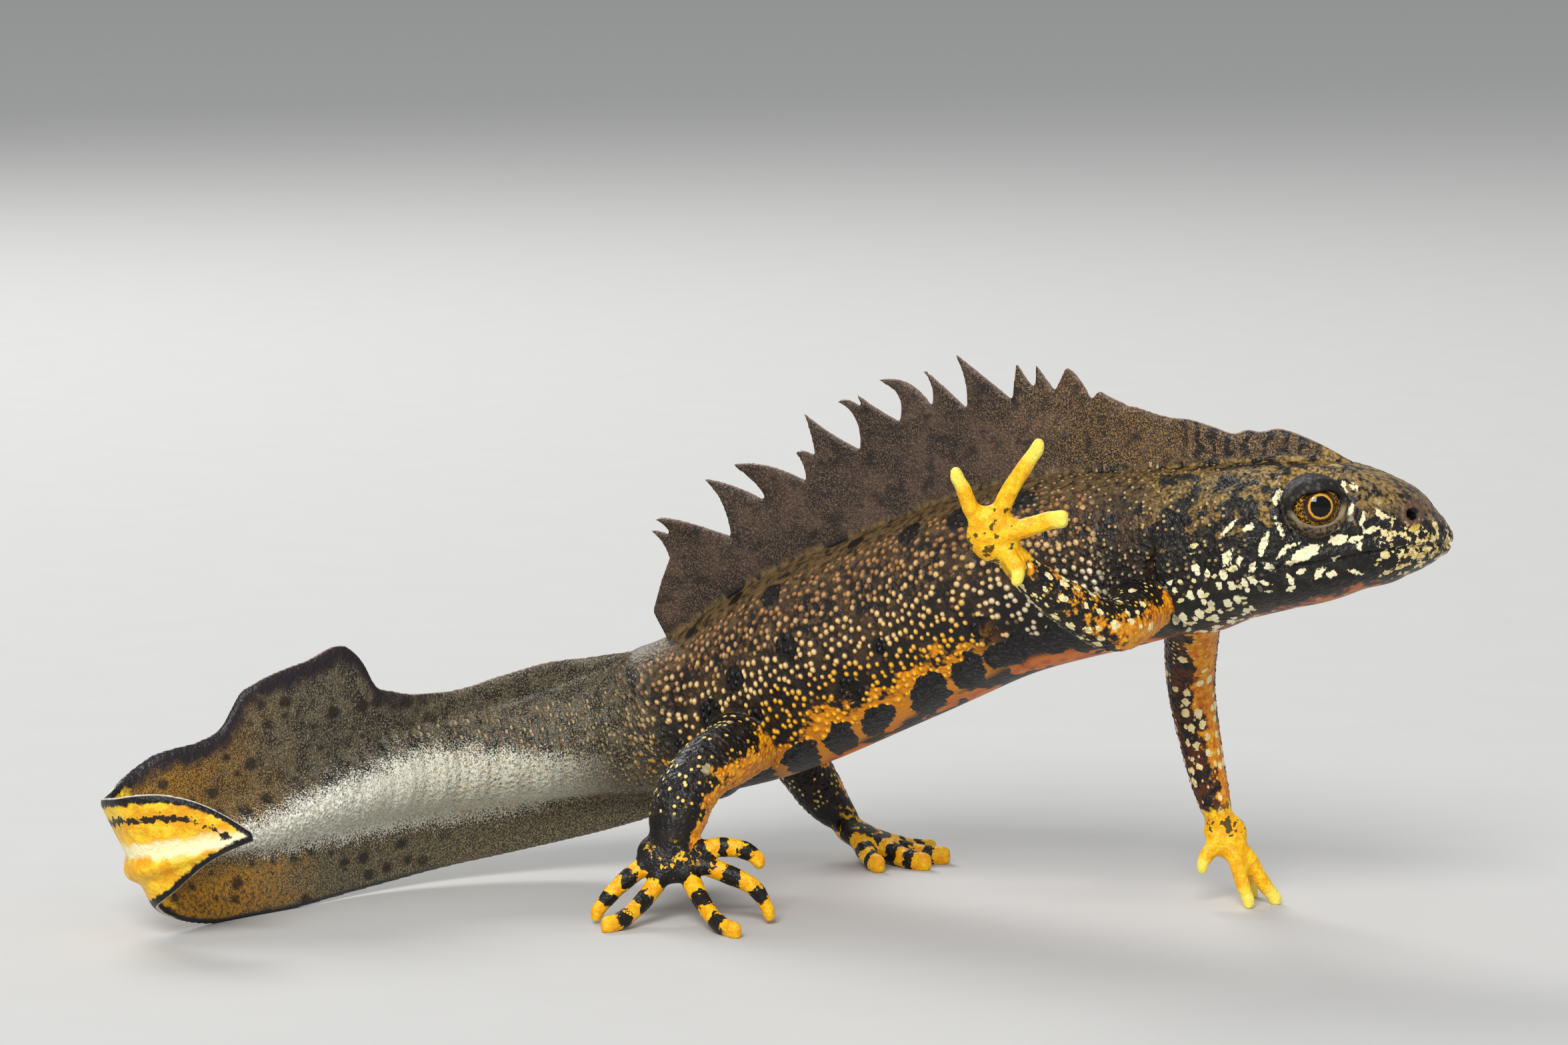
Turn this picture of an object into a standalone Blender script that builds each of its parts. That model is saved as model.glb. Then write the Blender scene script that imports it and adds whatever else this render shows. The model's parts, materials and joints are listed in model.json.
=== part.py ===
"""A male great crested newt in breeding dress, life size, still.

The animal walks toward +X with its right side toward -Y. Its right forefoot is raised,
the other three feet and the lower edge of the tail stand on Z = 0, and the end of the
tail is folded back toward the viewer's side. Lengths are in millimetres and become
metres where a mesh is made.

Everything on the body is placed by three numbers: how far along the body from the snout,
how far out to the animal's right side, and how high over the body's middle line.
"""
import math

import bpy
import bmesh
from mathutils import Matrix, Vector

MM = 0.001
GAP = 0.3            # clear space between neighbouring parts
HALF = GAP / 2
SIDES = 20           # points round the head, neck and trunk
TAIL_SIDES = 24      # and round the tail
LEG_ROUND = 2        # bevel resolution of a leg, 8 points round
TOE_ROUND = 1        # and of a toe, 6 points round

# Lengths along the body where one part ends and the next begins
JAW_END = 15.2
HEAD_END = 16.2
NECK_END = 20.6
TRUNK_END = 66.0
TAIL_BASE_END = 84.0
TAIL_MIDDLE_END = 99.0
TAIL_END_END = 113.0
BODY_LENGTH = 127.3

# The middle line of the body, distance from the snout: (x, y, z)
ROUTE = {
    0.0: (49.3, -4.0, 30.0),
    2.8: (46.6, -3.8, 30.8),
    6.2: (43.2, -3.5, 31.1),
    11.5: (38.0, -3.0, 30.5),
    17.6: (32.2, -1.5, 29.2),
    24.0: (26.5, 1.0, 28.1),
    33.8: (17.9, 5.0, 25.8),
    41.3: (12.0, 8.5, 23.2),
    48.7: (6.0, 11.5, 20.4),
    56.3: (0.0, 14.5, 17.3),
    63.8: (-6.1, 17.0, 14.3),
    68.0: (-9.6, 18.3, 12.6),
    73.5: (-14.7, 19.2, 10.9),
    81.1: (-22.1, 18.0, 9.4),
    91.7: (-31.5, 13.0, 8.5),
    98.0: (-36.4, 8.8, 7.7),
    101.7: (-39.1, 6.5, 7.0),
    105.6: (-42.1, 4.0, 6.35),
    109.8: (-45.2, 1.2, 5.6),
    115.0: (-48.4, -2.8, 5.05),
    118.8: (-47.5, -6.2, 5.6),
    122.6: (-44.0, -7.5, 6.8),
    127.3: (-39.4, -7.8, 8.3),
}

# Height of the back and of the tail's upper edge over the middle line
TOP = {
    0.0: 0.8, 0.4: 1.2, 1.2: 1.7, 2.6: 2.7, 3.9: 3.4, 5.3: 4.0, 8.2: 4.9, 10.6: 5.3,
    16.3: 6.1, 23.0: 6.6, 29.6: 7.4, 38.0: 7.6, 45.9: 7.7, 57.0: 7.4, 64.6: 6.2,
    71.1: 7.1, 76.0: 7.8, 80.7: 7.5, 86.3: 6.9, 90.3: 7.5, 91.7: 8.3, 92.6: 10.2,
    93.6: 11.5, 97.2: 11.3, 101.0: 10.7, 102.4: 10.3, 103.4: 9.3, 104.4: 8.2, 106.3: 7.6,
    108.4: 7.7, 110.0: 7.7, 112.0: 7.1, 114.3: 6.1, 118.0: 5.9, 120.8: 5.7, 122.6: 5.0,
    124.6: 3.6, 126.0: 2.1, 127.3: 0.4,
}

# Depth of the throat, belly and lower tail edge
LOW = {
    0.0: -1.2, 0.4: -1.8, 0.9: -2.4, 2.5: -3.6, 6.3: -4.8, 9.3: -5.4, 12.7: -5.6,
    15.9: -5.75, 18.2: -5.9, 20.5: -6.2, 25.4: -6.7, 36.7: -7.2, 44.8: -7.7, 60.5: -7.6,
    66.0: -7.0, 75.0: -7.5, 84.0: -7.7, 90.7: -8.0, 98.3: -7.6, 105.6: -6.6, 109.3: -6.0,
    111.6: -5.3, 113.8: -4.3, 116.0: -3.5, 120.4: -2.4, 123.0: -1.2, 125.3: -0.6, 127.3: -0.4,
}

# Half width of the flesh
WIDE = {
    0.0: 1.3, 0.4: 2.1, 1.0: 2.9, 2.0: 3.8, 3.0: 4.4, 6.0: 5.4, 10.0: 6.1, 14.0: 6.5,
    18.0: 6.0, 22.0: 6.0, 26.0: 6.4, 35.0: 7.0, 45.0: 7.3, 55.0: 6.9, 62.0: 6.1,
    68.0: 5.3, 74.0: 4.5, 81.0: 3.8, 91.0: 2.9, 100.0: 2.2, 108.0: 1.6, 114.0: 1.2,
    120.0: 0.8, 127.3: 0.4,
}

# Half height of the muscle inside the tail, and the height of its own middle
MUSCLE = {0.0: 9.0, 62.0: 8.5, 68.0: 6.0, 75.0: 4.9, 84.0: 4.0, 92.0: 3.4, 100.0: 2.7,
          108.0: 2.0, 114.0: 1.5, 120.0: 1.0, 127.3: 0.4}
MUSCLE_MIDDLE = {0.0: 0.0, 66.0: 0.0, 75.0: 0.8, 90.0: 0.6, 100.0: 0.2, 127.3: 0.0}
FIN = 0.33           # half thickness of the tail's fins

# How square the cross-section is: 2 is an ellipse
SQUARE = {0.0: 2.3, 12.0: 2.5, 20.0: 2.3, 40.0: 2.15, 66.0: 2.0, 127.3: 2.0}

# How the flesh fades up and down: 0.5 is round, near 1 it runs softly into a fin
FADE = {0.0: 0.43, 12.0: 0.4, 20.0: 0.43, 40.0: 0.47, 62.0: 0.5, 70.0: 0.62, 82.0: 0.85,
        127.3: 0.9}

# The bulge of the brow over each eye: along, high, spread and rise
BROW = (9.5, 3.1, 2.3, 0.5)

# Lean of the tail fins round the fold, in degrees
LEAN = {0.0: 0.0, 98.0: 0.0, 108.0: 12.0, 115.0: 27.0, 121.0: 14.0, 127.3: 4.0}

# The mouth's line, distance: height
MOUTH = {-1.0: -0.15, 0.0: -0.15, 1.2: -0.5, 2.2: -0.75, 3.9: -1.1, 5.6: -1.4, 7.8: -1.65,
         10.3: -1.7, 12.4: -1.7, 13.6: -2.3, 14.5: -4.0, JAW_END: -9.0}

EYE_ALONG = 9.6
EYE_HIGH = 2.35
EYE_RADIUS = 1.9
EYE_DEPTH = 1.0      # how far the eye's centre lies under the cheek

NOSTRIL_ALONG = 3.2
NOSTRIL_HIGH = 1.5
NOSTRIL_RADIUS = 0.3
NOSTRIL_DEPTH = 0.1

# The crest's edge between its teeth, distance: height
CREST_START = 8.4
CREST_END = 63.9
CREST = {
    8.4: 5.9, 9.7: 6.9, 10.7: 7.5, 11.5: 7.8, 12.7: 7.8, 13.3: 8.1, 14.2: 8.0, 15.6: 8.8,
    17.0: 9.5, 19.7: 10.2, 22.6: 11.5, 24.8: 12.1,
    27.4: 13.3, 28.8: 13.8, 30.4: 13.4, 33.3: 13.6, 35.5: 14.6, 37.9: 14.3, 41.9: 13.6,
    46.9: 12.9, 50.6: 12.7, 54.4: 11.4, 57.5: 12.2, 60.1: 12.1, 61.5: 11.0, 63.9: 8.6,
}

# The crest's teeth, front to back. Each is five points (distance, height): front foot,
# bend of the front edge, tip, bend of the rear edge, rear foot.
TEETH = (
    ((22.6, 11.6), (23.3, 12.1), (24.0, 12.8), (24.4, 12.6), (24.8, 12.2)),
    ((24.8, 12.2), (25.4, 14.0), (26.2, 15.0), (26.8, 14.2), (27.4, 13.4)),
    ((27.4, 13.4), (28.0, 14.8), (28.4, 15.9), (28.4, 15.1), (28.7, 14.0)),
    ((28.8, 14.0), (29.2, 15.0), (29.5, 16.1), (29.9, 14.8), (30.3, 13.5)),
    ((30.4, 13.5), (31.9, 16.0), (33.0, 17.9), (32.9, 15.9), (33.3, 13.8)),
    ((33.4, 13.7), (34.6, 16.3), (35.5, 18.2), (35.0, 16.4), (35.4, 14.7)),
    ((35.5, 14.7), (36.4, 17.0), (38.0, 18.0), (37.2, 16.2), (37.9, 14.4)),
    ((37.9, 14.4), (39.1, 16.2), (40.0, 17.7), (39.9, 16.2), (40.2, 14.4)),
    ((39.5, 15.0), (40.5, 17.1), (42.0, 17.7), (41.1, 16.0), (41.9, 13.7)),
    ((42.1, 13.7), (43.8, 15.8), (44.9, 17.8), (45.1, 16.0), (45.6, 14.0)),
    ((45.0, 13.6), (45.9, 15.0), (46.7, 15.3), (46.6, 14.2), (46.9, 13.0)),
    ((46.9, 12.9), (49.2, 15.2), (51.6, 16.4), (50.6, 14.1), (50.6, 12.8)),
    ((50.6, 12.8), (52.3, 14.9), (54.0, 16.5), (53.7, 14.2), (54.4, 11.6)),
    ((54.4, 11.4), (57.6, 14.2), (59.8, 15.3), (59.2, 13.8), (60.0, 12.4)),
    ((58.8, 13.0), (59.7, 14.0), (60.6, 14.6), (60.2, 13.4), (60.3, 12.0)),
)
TOOTH_ROOT = 1.2     # how far a tooth reaches down into the crest
TOOTH_LAP = 0.08     # how far neighbouring teeth run into each other
TOOTH_HALVES = (0.25, 0.265, 0.28)    # half thickness of each tooth in turn
CREST_FOOT = 0.55    # half thickness where the crest leaves the back
CREST_EDGE = 0.31    # half thickness at the crest's edge


# ------------------------------------------------------------------ curves through values
def smooth(keys):
    """A smooth curve through the values of keys, read at any distance."""
    places = sorted(keys)
    values = [Vector(keys[p]) if isinstance(keys[p], tuple) else keys[p] for p in places]
    steps = [(values[i + 1] - values[i]) / (places[i + 1] - places[i])
             for i in range(len(places) - 1)]
    slopes = [steps[0]]
    for i in range(1, len(steps)):
        before = places[i] - places[i - 1]
        after = places[i + 1] - places[i]
        slopes.append((steps[i - 1] * after + steps[i] * before) / (before + after))
    slopes.append(steps[-1])

    def read(place):
        place = min(max(place, places[0]), places[-1])
        i = 0
        while i < len(places) - 2 and place > places[i + 1]:
            i += 1
        span = places[i + 1] - places[i]
        t = (place - places[i]) / span
        return (values[i] * (1 + 2 * t) * (1 - t) ** 2 + slopes[i] * (span * t * (1 - t) ** 2)
                + values[i + 1] * (t * t * (3 - 2 * t)) - slopes[i + 1] * (span * t * t * (1 - t)))

    return read


def straight(keys):
    """Straight lines between the values of keys, for an edge with corners."""
    places = sorted(keys)

    def read(place):
        place = min(max(place, places[0]), places[-1])
        i = 0
        while i < len(places) - 2 and place > places[i + 1]:
            i += 1
        t = (place - places[i]) / (places[i + 1] - places[i])
        return keys[places[i]] * (1 - t) + keys[places[i + 1]] * t

    return read


route = smooth(ROUTE)
top = smooth(TOP)
low = smooth(LOW)
wide = smooth(WIDE)
muscle = smooth(MUSCLE)
muscle_middle = smooth(MUSCLE_MIDDLE)
square = smooth(SQUARE)
lean = smooth(LEAN)
mouth = straight(MOUTH)
crest = smooth(CREST)
fade = smooth(FADE)


# ------------------------------------------------------------------ places on the body
def directions(along):
    """The body's tailward, upward and rightward directions at a distance."""
    tailward = (route(along + 0.3) - route(along - 0.3)).normalized()
    upward = (Vector((0, 0, 1)) - tailward * tailward.z).normalized()
    rightward = upward.cross(tailward)
    turn = math.radians(lean(along))
    upward = (upward * math.cos(turn) - rightward * math.sin(turn)).normalized()
    return tailward, upward, upward.cross(tailward)


def place(along, right, high):
    """A point of space from its distance, side and height on the body."""
    inside = min(max(along, 0.0), BODY_LENGTH)
    tailward, upward, rightward = directions(inside)
    beyond = along - inside
    return route(inside) + tailward * beyond + rightward * right + upward * high


def half_width(along, high, grow=0.0):
    """Half width of the body at a height: flesh in the middle, fins above and below."""
    middle = muscle_middle(along)
    upper = min(top(along), middle + muscle(along)) + grow
    under = max(low(along), middle - muscle(along)) - grow
    centre = (upper + under) / 2
    reach = min(abs(high - centre) / ((upper - under) / 2), 1.0)
    flesh = (wide(along) + grow) * (1 - reach ** square(along)) ** fade(along)
    near, height, wideness, rise = BROW
    flesh += rise * math.exp(-((along - near) ** 2 + (high - height) ** 2) / wideness ** 2)
    edge = min((top(along) + grow - high), (high - low(along) + grow))
    fin = (FIN + grow) * min(max(edge, 0.0) / 0.5, 1.0) ** 0.5
    return (flesh ** 3 + min(fin, wide(along) + grow) ** 3) ** (1 / 3)


def ring(along, grow=0.0, sides=SIDES):
    """The body's outline at a distance, from the back round the right side."""
    upper = top(along) + grow
    under = low(along) - grow
    points = []
    for k in range(sides):
        angle = 2 * math.pi * k / sides
        high = (upper + under) / 2 + (upper - under) / 2 * math.cos(angle)
        out = 0.0 if k in (0, sides // 2) else half_width(along, high, grow)
        points.append(place(along, out if k < sides / 2 else -out, high))
    return points


def spread(start, end, step):
    """Even distances from start to end, both included."""
    count = max(1, round((end - start) / step))
    return [start + (end - start) * i / count for i in range(count + 1)]


# ------------------------------------------------------------------ objects
for leftover in list(bpy.data.objects):
    bpy.data.objects.remove(leftover)
parts = bpy.data.collections.new("great_crested_newt")
cutters = bpy.data.collections.new("cutters")
stage = bpy.data.objects.new("newt_centre", None)
bpy.context.scene.collection.children.link(parts)
bpy.context.scene.collection.children.link(cutters)
parts.objects.link(stage)


def add_object(name, mesh, collection=None):
    """Put a mesh in the scene under the empty that carries the whole animal."""
    thing = bpy.data.objects.new(name, mesh)
    (collection or parts).objects.link(thing)
    thing.parent = stage
    return thing


def loft(name, rings, collection=None):
    """A closed solid through rings of equal count, with a flat face at each end."""
    solid = bmesh.new()
    rows = [[solid.verts.new(point * MM) for point in points] for points in rings]
    count = len(rows[0])
    for first, second in zip(rows, rows[1:]):
        for k in range(count):
            after = (k + 1) % count
            solid.faces.new((first[k], first[after], second[after], second[k]))
    solid.faces.new(rows[0])
    solid.faces.new(rows[-1])
    bmesh.ops.recalc_face_normals(solid, faces=solid.faces)
    mesh = bpy.data.meshes.new(name)
    solid.to_mesh(mesh)
    solid.free()
    return add_object(name, mesh, collection)


def tube(name, points, radii, roundness):
    """A bent round bar through points, its radius changing along it."""
    curve = bpy.data.curves.new(name, "CURVE")
    curve.dimensions = "3D"
    curve.bevel_depth = MM
    curve.bevel_resolution = roundness
    curve.use_fill_caps = True
    spline = curve.splines.new("POLY")
    spline.points.add(len(points) - 1)
    for bead, point, radius in zip(spline.points, points, radii):
        bead.co = (*(Vector(point) * MM), 1)
        bead.radius = radius
    return mesh_from_curve(name, curve)


def mesh_from_curve(name, curve):
    """Turn a curve into a closed mesh with its caps welded on."""
    guide = bpy.data.objects.new(name + "_guide", curve)
    cutters.objects.link(guide)
    bpy.context.view_layer.update()
    seen = guide.evaluated_get(bpy.context.evaluated_depsgraph_get())
    mesh = bpy.data.meshes.new_from_object(seen)
    bpy.data.objects.remove(guide)
    solid = bmesh.new()
    solid.from_mesh(mesh)
    bmesh.ops.remove_doubles(solid, verts=solid.verts, dist=0.00001)
    bmesh.ops.recalc_face_normals(solid, faces=solid.faces)
    solid.to_mesh(mesh)
    solid.free()
    return add_object(name, mesh)


class Leg:
    """A leg's middle line through hand-placed points, and its girth along that line."""

    def __init__(self, points, radii):
        lengths = [0.0]
        for first, second in zip(points, points[1:]):
            lengths.append(lengths[-1] + (Vector(second) - Vector(first)).length)
        self.line = smooth(dict(zip(lengths, points)))
        self.girth = smooth(dict(zip(lengths, radii)))
        self.length = lengths[-1]

    def near(self, cut, past):
        """A point just before or after a cut, straight along the line's aim there."""
        aim = (self.line(cut + 0.1) - self.line(cut - 0.1)).normalized()
        return self.line(cut) + aim * past

    def piece(self, name, start, end, step=1.5):
        """The tube between two cuts; pieces that share a cut have parallel faces there."""
        stops = spread(start + 0.9, end - 0.9, step)
        beads = [self.near(start, HALF), self.near(start, HALF + 0.3)]
        beads += [self.line(s) for s in stops]
        beads += [self.near(end, -HALF - 0.3), self.near(end, -HALF)]
        girths = [self.girth(s) for s in (start, start, *stops, end, end)]
        return tube(name, beads, girths, LEG_ROUND)


def toe(name, points, radius):
    """A toe: a tapering tube whose last bead closes it to a round tip."""
    points = [Vector(point) for point in points]
    tip = points[-1]
    aim = (tip - points[-2]).normalized()
    beads = points[:-1] + [tip - aim * radius * 0.8, tip - aim * radius * 0.25, tip]
    radii = [radius * (1.12 - 0.12 * i / len(points)) for i in range(len(points) - 1)]
    return tube(name, beads, radii + [radius, radius * 0.72, radius * 0.3], TOE_ROUND)


def pad(name, centre, size, forward, normal):
    """The flat of a hand or foot: a ball pressed flat, long along forward."""
    forward = Vector(forward).normalized()
    across = Vector(normal).cross(forward).normalized()
    upward = forward.cross(across)
    mesh = bpy.data.meshes.new(name)
    solid = bmesh.new()
    bmesh.ops.create_uvsphere(solid, u_segments=12, v_segments=6, radius=1.0)
    turn = Matrix((forward * size[0], across * size[1], upward * size[2])).transposed()
    for vert in solid.verts:
        vert.co = (turn @ vert.co + Vector(centre)) * MM
    bmesh.ops.recalc_face_normals(solid, faces=solid.faces)
    solid.to_mesh(mesh)
    solid.free()
    return add_object(name, mesh)


def make_cutter(thing):
    """Hide an object from the parts; it only shapes its neighbours."""
    if thing.name in parts.objects:
        parts.objects.unlink(thing)
        cutters.objects.link(thing)
    thing.hide_render = True
    thing.display_type = "WIRE"
    return thing


def shape(thing, other, operation):
    """Cut an object with another, join the two, or keep what they share."""
    change = thing.modifiers.new(operation.lower(), "BOOLEAN")
    change.operation = operation
    change.object = make_cutter(other)
    return thing


# ------------------------------------------------------------------ materials
def colour(code):
    """Linear colour of an sRGB hex code."""
    values = [int(code[i:i + 2], 16) / 255 for i in (0, 2, 4)]
    linear = [v / 12.92 if v <= 0.04045 else ((v + 0.055) / 1.055) ** 2.4 for v in values]
    return (*linear, 1.0)


def paint(thing, code, roughness):
    """Give an object its own plain material, and round shading."""
    material = bpy.data.materials.new(thing.name + "_skin")
    material.use_nodes = True
    surface = material.node_tree.nodes["Principled BSDF"]
    surface.inputs["Base Color"].default_value = colour(code)
    surface.inputs["Roughness"].default_value = roughness
    surface.inputs["Metallic"].default_value = 0.0
    thing.data.materials.clear()
    thing.data.materials.append(material)
    thing.data.shade_smooth()
    thing.data.set_sharp_from_angle(angle=math.radians(50))


# ------------------------------------------------------------------ head, neck, trunk, tail
def below_mouth(name, shift):
    """Everything under the mouth's line, moved by shift away from that line."""
    rings = []
    for along in (-1.0, 0.0, 2.5, 4.8, 7.5, 9.5, 12.4, 13.6, 14.5, JAW_END):
        line = mouth(along) + shift
        corners = ((-9, line), (9, line), (9, -12), (-9, -12))
        rings.append([place(along + shift * 0.6, right, high) for right, high in corners])
    return loft(name, rings, cutters)


def ball(name, along, right, high, radius, segments=16):
    """A ball on the body, for an eye or the hole it sits in."""
    mesh = bpy.data.meshes.new(name)
    solid = bmesh.new()
    bmesh.ops.create_uvsphere(solid, u_segments=segments, v_segments=segments // 2,
                              radius=radius * MM)
    turn = Matrix.Rotation(math.radians(90), 4, "X")
    shift = Matrix.Translation(place(along, right, high) * MM)
    bmesh.ops.transform(solid, matrix=shift @ turn, verts=solid.verts)
    solid.to_mesh(mesh)
    solid.free()
    return add_object(name, mesh)


def make_head():
    """Upper head and lower jaw, parted along the shut mouth, with eyes and nostrils."""
    stops = [0.0, 0.35, 0.9, 1.8] + spread(3.0, HEAD_END - HALF, 1.65)
    rings = [ring(along) for along in stops]
    head = loft("head", rings)
    jaw = loft("lower_jaw", rings)
    shape(head, below_mouth("under_mouth", HALF), "DIFFERENCE")
    shape(jaw, below_mouth("jaw_room", -HALF), "INTERSECT")
    eye_out = half_width(EYE_ALONG, EYE_HIGH) - EYE_DEPTH
    nostril_out = half_width(NOSTRIL_ALONG, NOSTRIL_HIGH) - NOSTRIL_DEPTH
    for side, name in ((1, "right"), (-1, "left")):
        eye = ball("eye_" + name, EYE_ALONG, side * eye_out, EYE_HIGH, EYE_RADIUS)
        socket = ball("socket_" + name, EYE_ALONG, side * eye_out, EYE_HIGH, EYE_RADIUS + GAP)
        nostril = ball("nostril_" + name, NOSTRIL_ALONG, side * nostril_out, NOSTRIL_HIGH,
                       NOSTRIL_RADIUS, 8)
        shape(head, socket, "DIFFERENCE")
        shape(head, nostril, "DIFFERENCE")
        paint(eye, "1a1208", 0.12)
    paint(head, "23201c", 0.4)
    paint(jaw, "6b3d14", 0.45)


def make_length(name, start, end, step, code, roughness):
    """One length of the body between two distances, half a gap inside each."""
    stops = spread(start + HALF, end - HALF, step)
    sides = TAIL_SIDES if start >= TRUNK_END else SIDES
    length = loft(name, [ring(along, sides=sides) for along in stops])
    paint(length, code, roughness)
    return length


def make_body():
    """Neck, trunk and the four lengths of the tail."""
    make_length("neck", HEAD_END, NECK_END, 1.4, "3a3022", 0.5)
    make_length("trunk", NECK_END, TRUNK_END, 2.5, "3c2d1c", 0.55)
    lengths = (
        make_length("tail_base", TRUNK_END, TAIL_BASE_END, 2.5, "4a4436", 0.5),
        make_length("tail_middle", TAIL_BASE_END, TAIL_MIDDLE_END, 1.35, "5c503c", 0.5),
        make_length("tail_end", TAIL_MIDDLE_END, TAIL_END_END, 1.6, "6b5528", 0.5),
        make_length("tail_tip", TAIL_END_END, BODY_LENGTH, 1.25, "c9952a", 0.45),
    )
    for length in lengths:
        shape(length, floor_block("floor_" + length.name), "DIFFERENCE")


def bend_through(start, middle, end, t):
    """A point of the curve that passes start, middle and end at t of 0, a half and 1."""
    pull = [2 * m - (a + b) / 2 for a, m, b in zip(start, middle, end)]
    return [a * (1 - t) ** 2 + 2 * p * t * (1 - t) + b * t * t
            for a, p, b in zip(start, pull, end)]


def make_tooth(name, points, half):
    """One tooth of the crest: a flat blade between its front and its rear edge."""
    front, front_bend, tip, rear_bend, rear = points
    front = (front[0] - TOOTH_LAP, front[1])
    rear = (rear[0] + TOOTH_LAP, rear[1])
    rows = [((front[0], front[1] - TOOTH_ROOT), (rear[0], rear[1] - TOOTH_ROOT))]
    for t in (0.0, 0.35, 0.65, 0.94):
        rows.append((bend_through(front, front_bend, tip, t),
                     bend_through(rear, rear_bend, tip, t)))
    rings = [[place(ahead[0], -half, ahead[1]), place(ahead[0], half, ahead[1]),
              place(back[0], half, back[1]), place(back[0], -half, back[1])]
             for ahead, back in rows]
    return loft(name, rings)


def make_crest():
    """The sail on the back, thick at the foot and thin at the edge, with its teeth."""
    rings = []
    for along in spread(CREST_START, CREST_END, 1.7):
        foot = top(along) + GAP
        edge = crest(along)
        shoulder = edge - min(0.35, (edge - foot) / 2)
        rings.append([place(along, -CREST_FOOT, foot), place(along, -CREST_EDGE, shoulder),
                      place(along, 0.0, edge), place(along, CREST_EDGE, shoulder),
                      place(along, CREST_FOOT, foot)])
    sail = loft("back_crest", rings)
    for number, points in enumerate(TEETH, 1):
        half = TOOTH_HALVES[number % len(TOOTH_HALVES)]
        shape(sail, make_tooth(f"crest_tooth_{number}", points, half), "UNION")
    paint(sail, "33241f", 0.5)


# ------------------------------------------------------------------ legs
def floor_block(name):
    """A block under the floor, to press flats on what stands there."""
    mesh = bpy.data.meshes.new(name)
    solid = bmesh.new()
    bmesh.ops.create_cube(solid, size=1.0)
    for vert in solid.verts:
        vert.co = Vector((vert.co.x * 200, vert.co.y * 200, (vert.co.z - 0.5) * 10)) * MM
    solid.to_mesh(mesh)
    solid.free()
    return add_object(name, mesh, cutters)


def make_arm_or_leg(names, leg, joints, codes):
    """The two upper pieces of a leg: one cut to the flank, one down to the wrist."""
    upper_name, lower_name = names
    bend, wrist = joints
    upper = leg.piece(upper_name, 0.0, bend)
    stops = spread(NECK_END - 2.0, TRUNK_END + 6.0, 2.5)
    flank = loft(upper_name + "_flank", [ring(along, GAP) for along in stops], cutters)
    shape(upper, flank, "DIFFERENCE")
    paint(upper, codes[0], 0.5)
    lower = leg.piece(lower_name, bend, wrist)
    paint(lower, codes[1], 0.5)


def make_extremity(name, leg, wrist, palm, toes, toe_radius, code):
    """A hand or foot: the end of the leg, a flat palm and its toes in one solid."""
    foot = pad(name, *palm)
    shape(foot, leg.piece(name + "_wrist", wrist, leg.length, 0.9), "UNION")
    for number, points in enumerate(toes, 1):
        shape(foot, toe(f"{name}_toe_{number}", points, toe_radius), "UNION")
    shape(foot, floor_block(name + "_floor"), "DIFFERENCE")
    paint(foot, code, 0.45)


def make_right_foreleg():
    """The raised arm: elbow out, forearm up, open hand turned to the viewer's side."""
    arm = Leg([(28.0, -1.0, 26.4), (26.0, -6.5, 24.8), (24.2, -9.9, 24.3), (20.4, -12.4, 26.5),
               (17.2, -13.5, 29.2), (15.6, -14.3, 31.2)],
              [2.3, 2.1, 1.85, 1.6, 1.2, 0.9])
    make_arm_or_leg(("foreleg_right_upper", "foreleg_right_lower"), arm, (10.6, 18.8),
                    ("2a2018", "3a2c18"))
    palm = ((15.2, -14.4, 31.7), (2.3, 1.95, 0.95), (-0.45, -0.15, 0.85), (0, -1, 0))
    toes = (
        [(14.6, -14.5, 32.0), (13.5, -14.8, 33.7), (12.9, -15.0, 35.2), (12.1, -15.2, 36.6)],
        [(15.2, -14.5, 32.2), (16.2, -15.0, 34.7), (17.6, -15.3, 37.0), (18.7, -15.9, 38.7)],
        [(15.6, -14.5, 31.7), (17.4, -15.0, 32.2), (19.2, -15.4, 32.8), (20.6, -16.5, 33.1)],
        [(15.8, -14.4, 31.0), (16.5, -15.0, 29.8), (17.0, -15.4, 29.0), (16.4, -15.9, 28.2)],
    )
    make_extremity("foreleg_right_hand", arm, 18.8, palm, toes, 0.68, "c98f22")


def make_left_foreleg():
    """The straight far arm that carries the shoulders, on the tips of its fingers."""
    arm = Leg([(31.0, 2.0, 25.3), (31.1, 6.2, 21.4), (31.3, 8.7, 17.0), (32.1, 9.3, 12.5),
               (33.2, 8.9, 7.9), (33.9, 8.6, 5.6)],
              [2.2, 2.1, 1.85, 1.6, 1.25, 0.9])
    make_arm_or_leg(("foreleg_left_upper", "foreleg_left_lower"), arm, (11.0, 20.0),
                    ("2a2018", "8a5a1e"))
    palm = ((34.0, 8.55, 5.5), (1.95, 1.7, 0.9), (0.4, -0.1, -0.9), (0, -1, 0.1))
    toes = (
        [(33.6, 8.4, 5.5), (32.9, 8.1, 4.5), (32.3, 7.8, 3.5), (32.0, 7.6, 2.6)],
        [(34.1, 8.3, 5.0), (34.8, 7.9, 3.6), (35.3, 7.5, 1.8), (36.0, 7.1, -0.1)],
        [(34.5, 8.5, 5.0), (35.8, 8.6, 3.6), (36.9, 8.7, 1.8), (38.4, 8.8, -0.1)],
        [(34.4, 8.9, 4.8), (35.2, 9.9, 3.3), (35.8, 10.9, 1.6), (36.7, 11.9, -0.1)],
    )
    make_extremity("foreleg_left_hand", arm, 20.0, palm, toes, 0.68, "c98f22")


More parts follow.
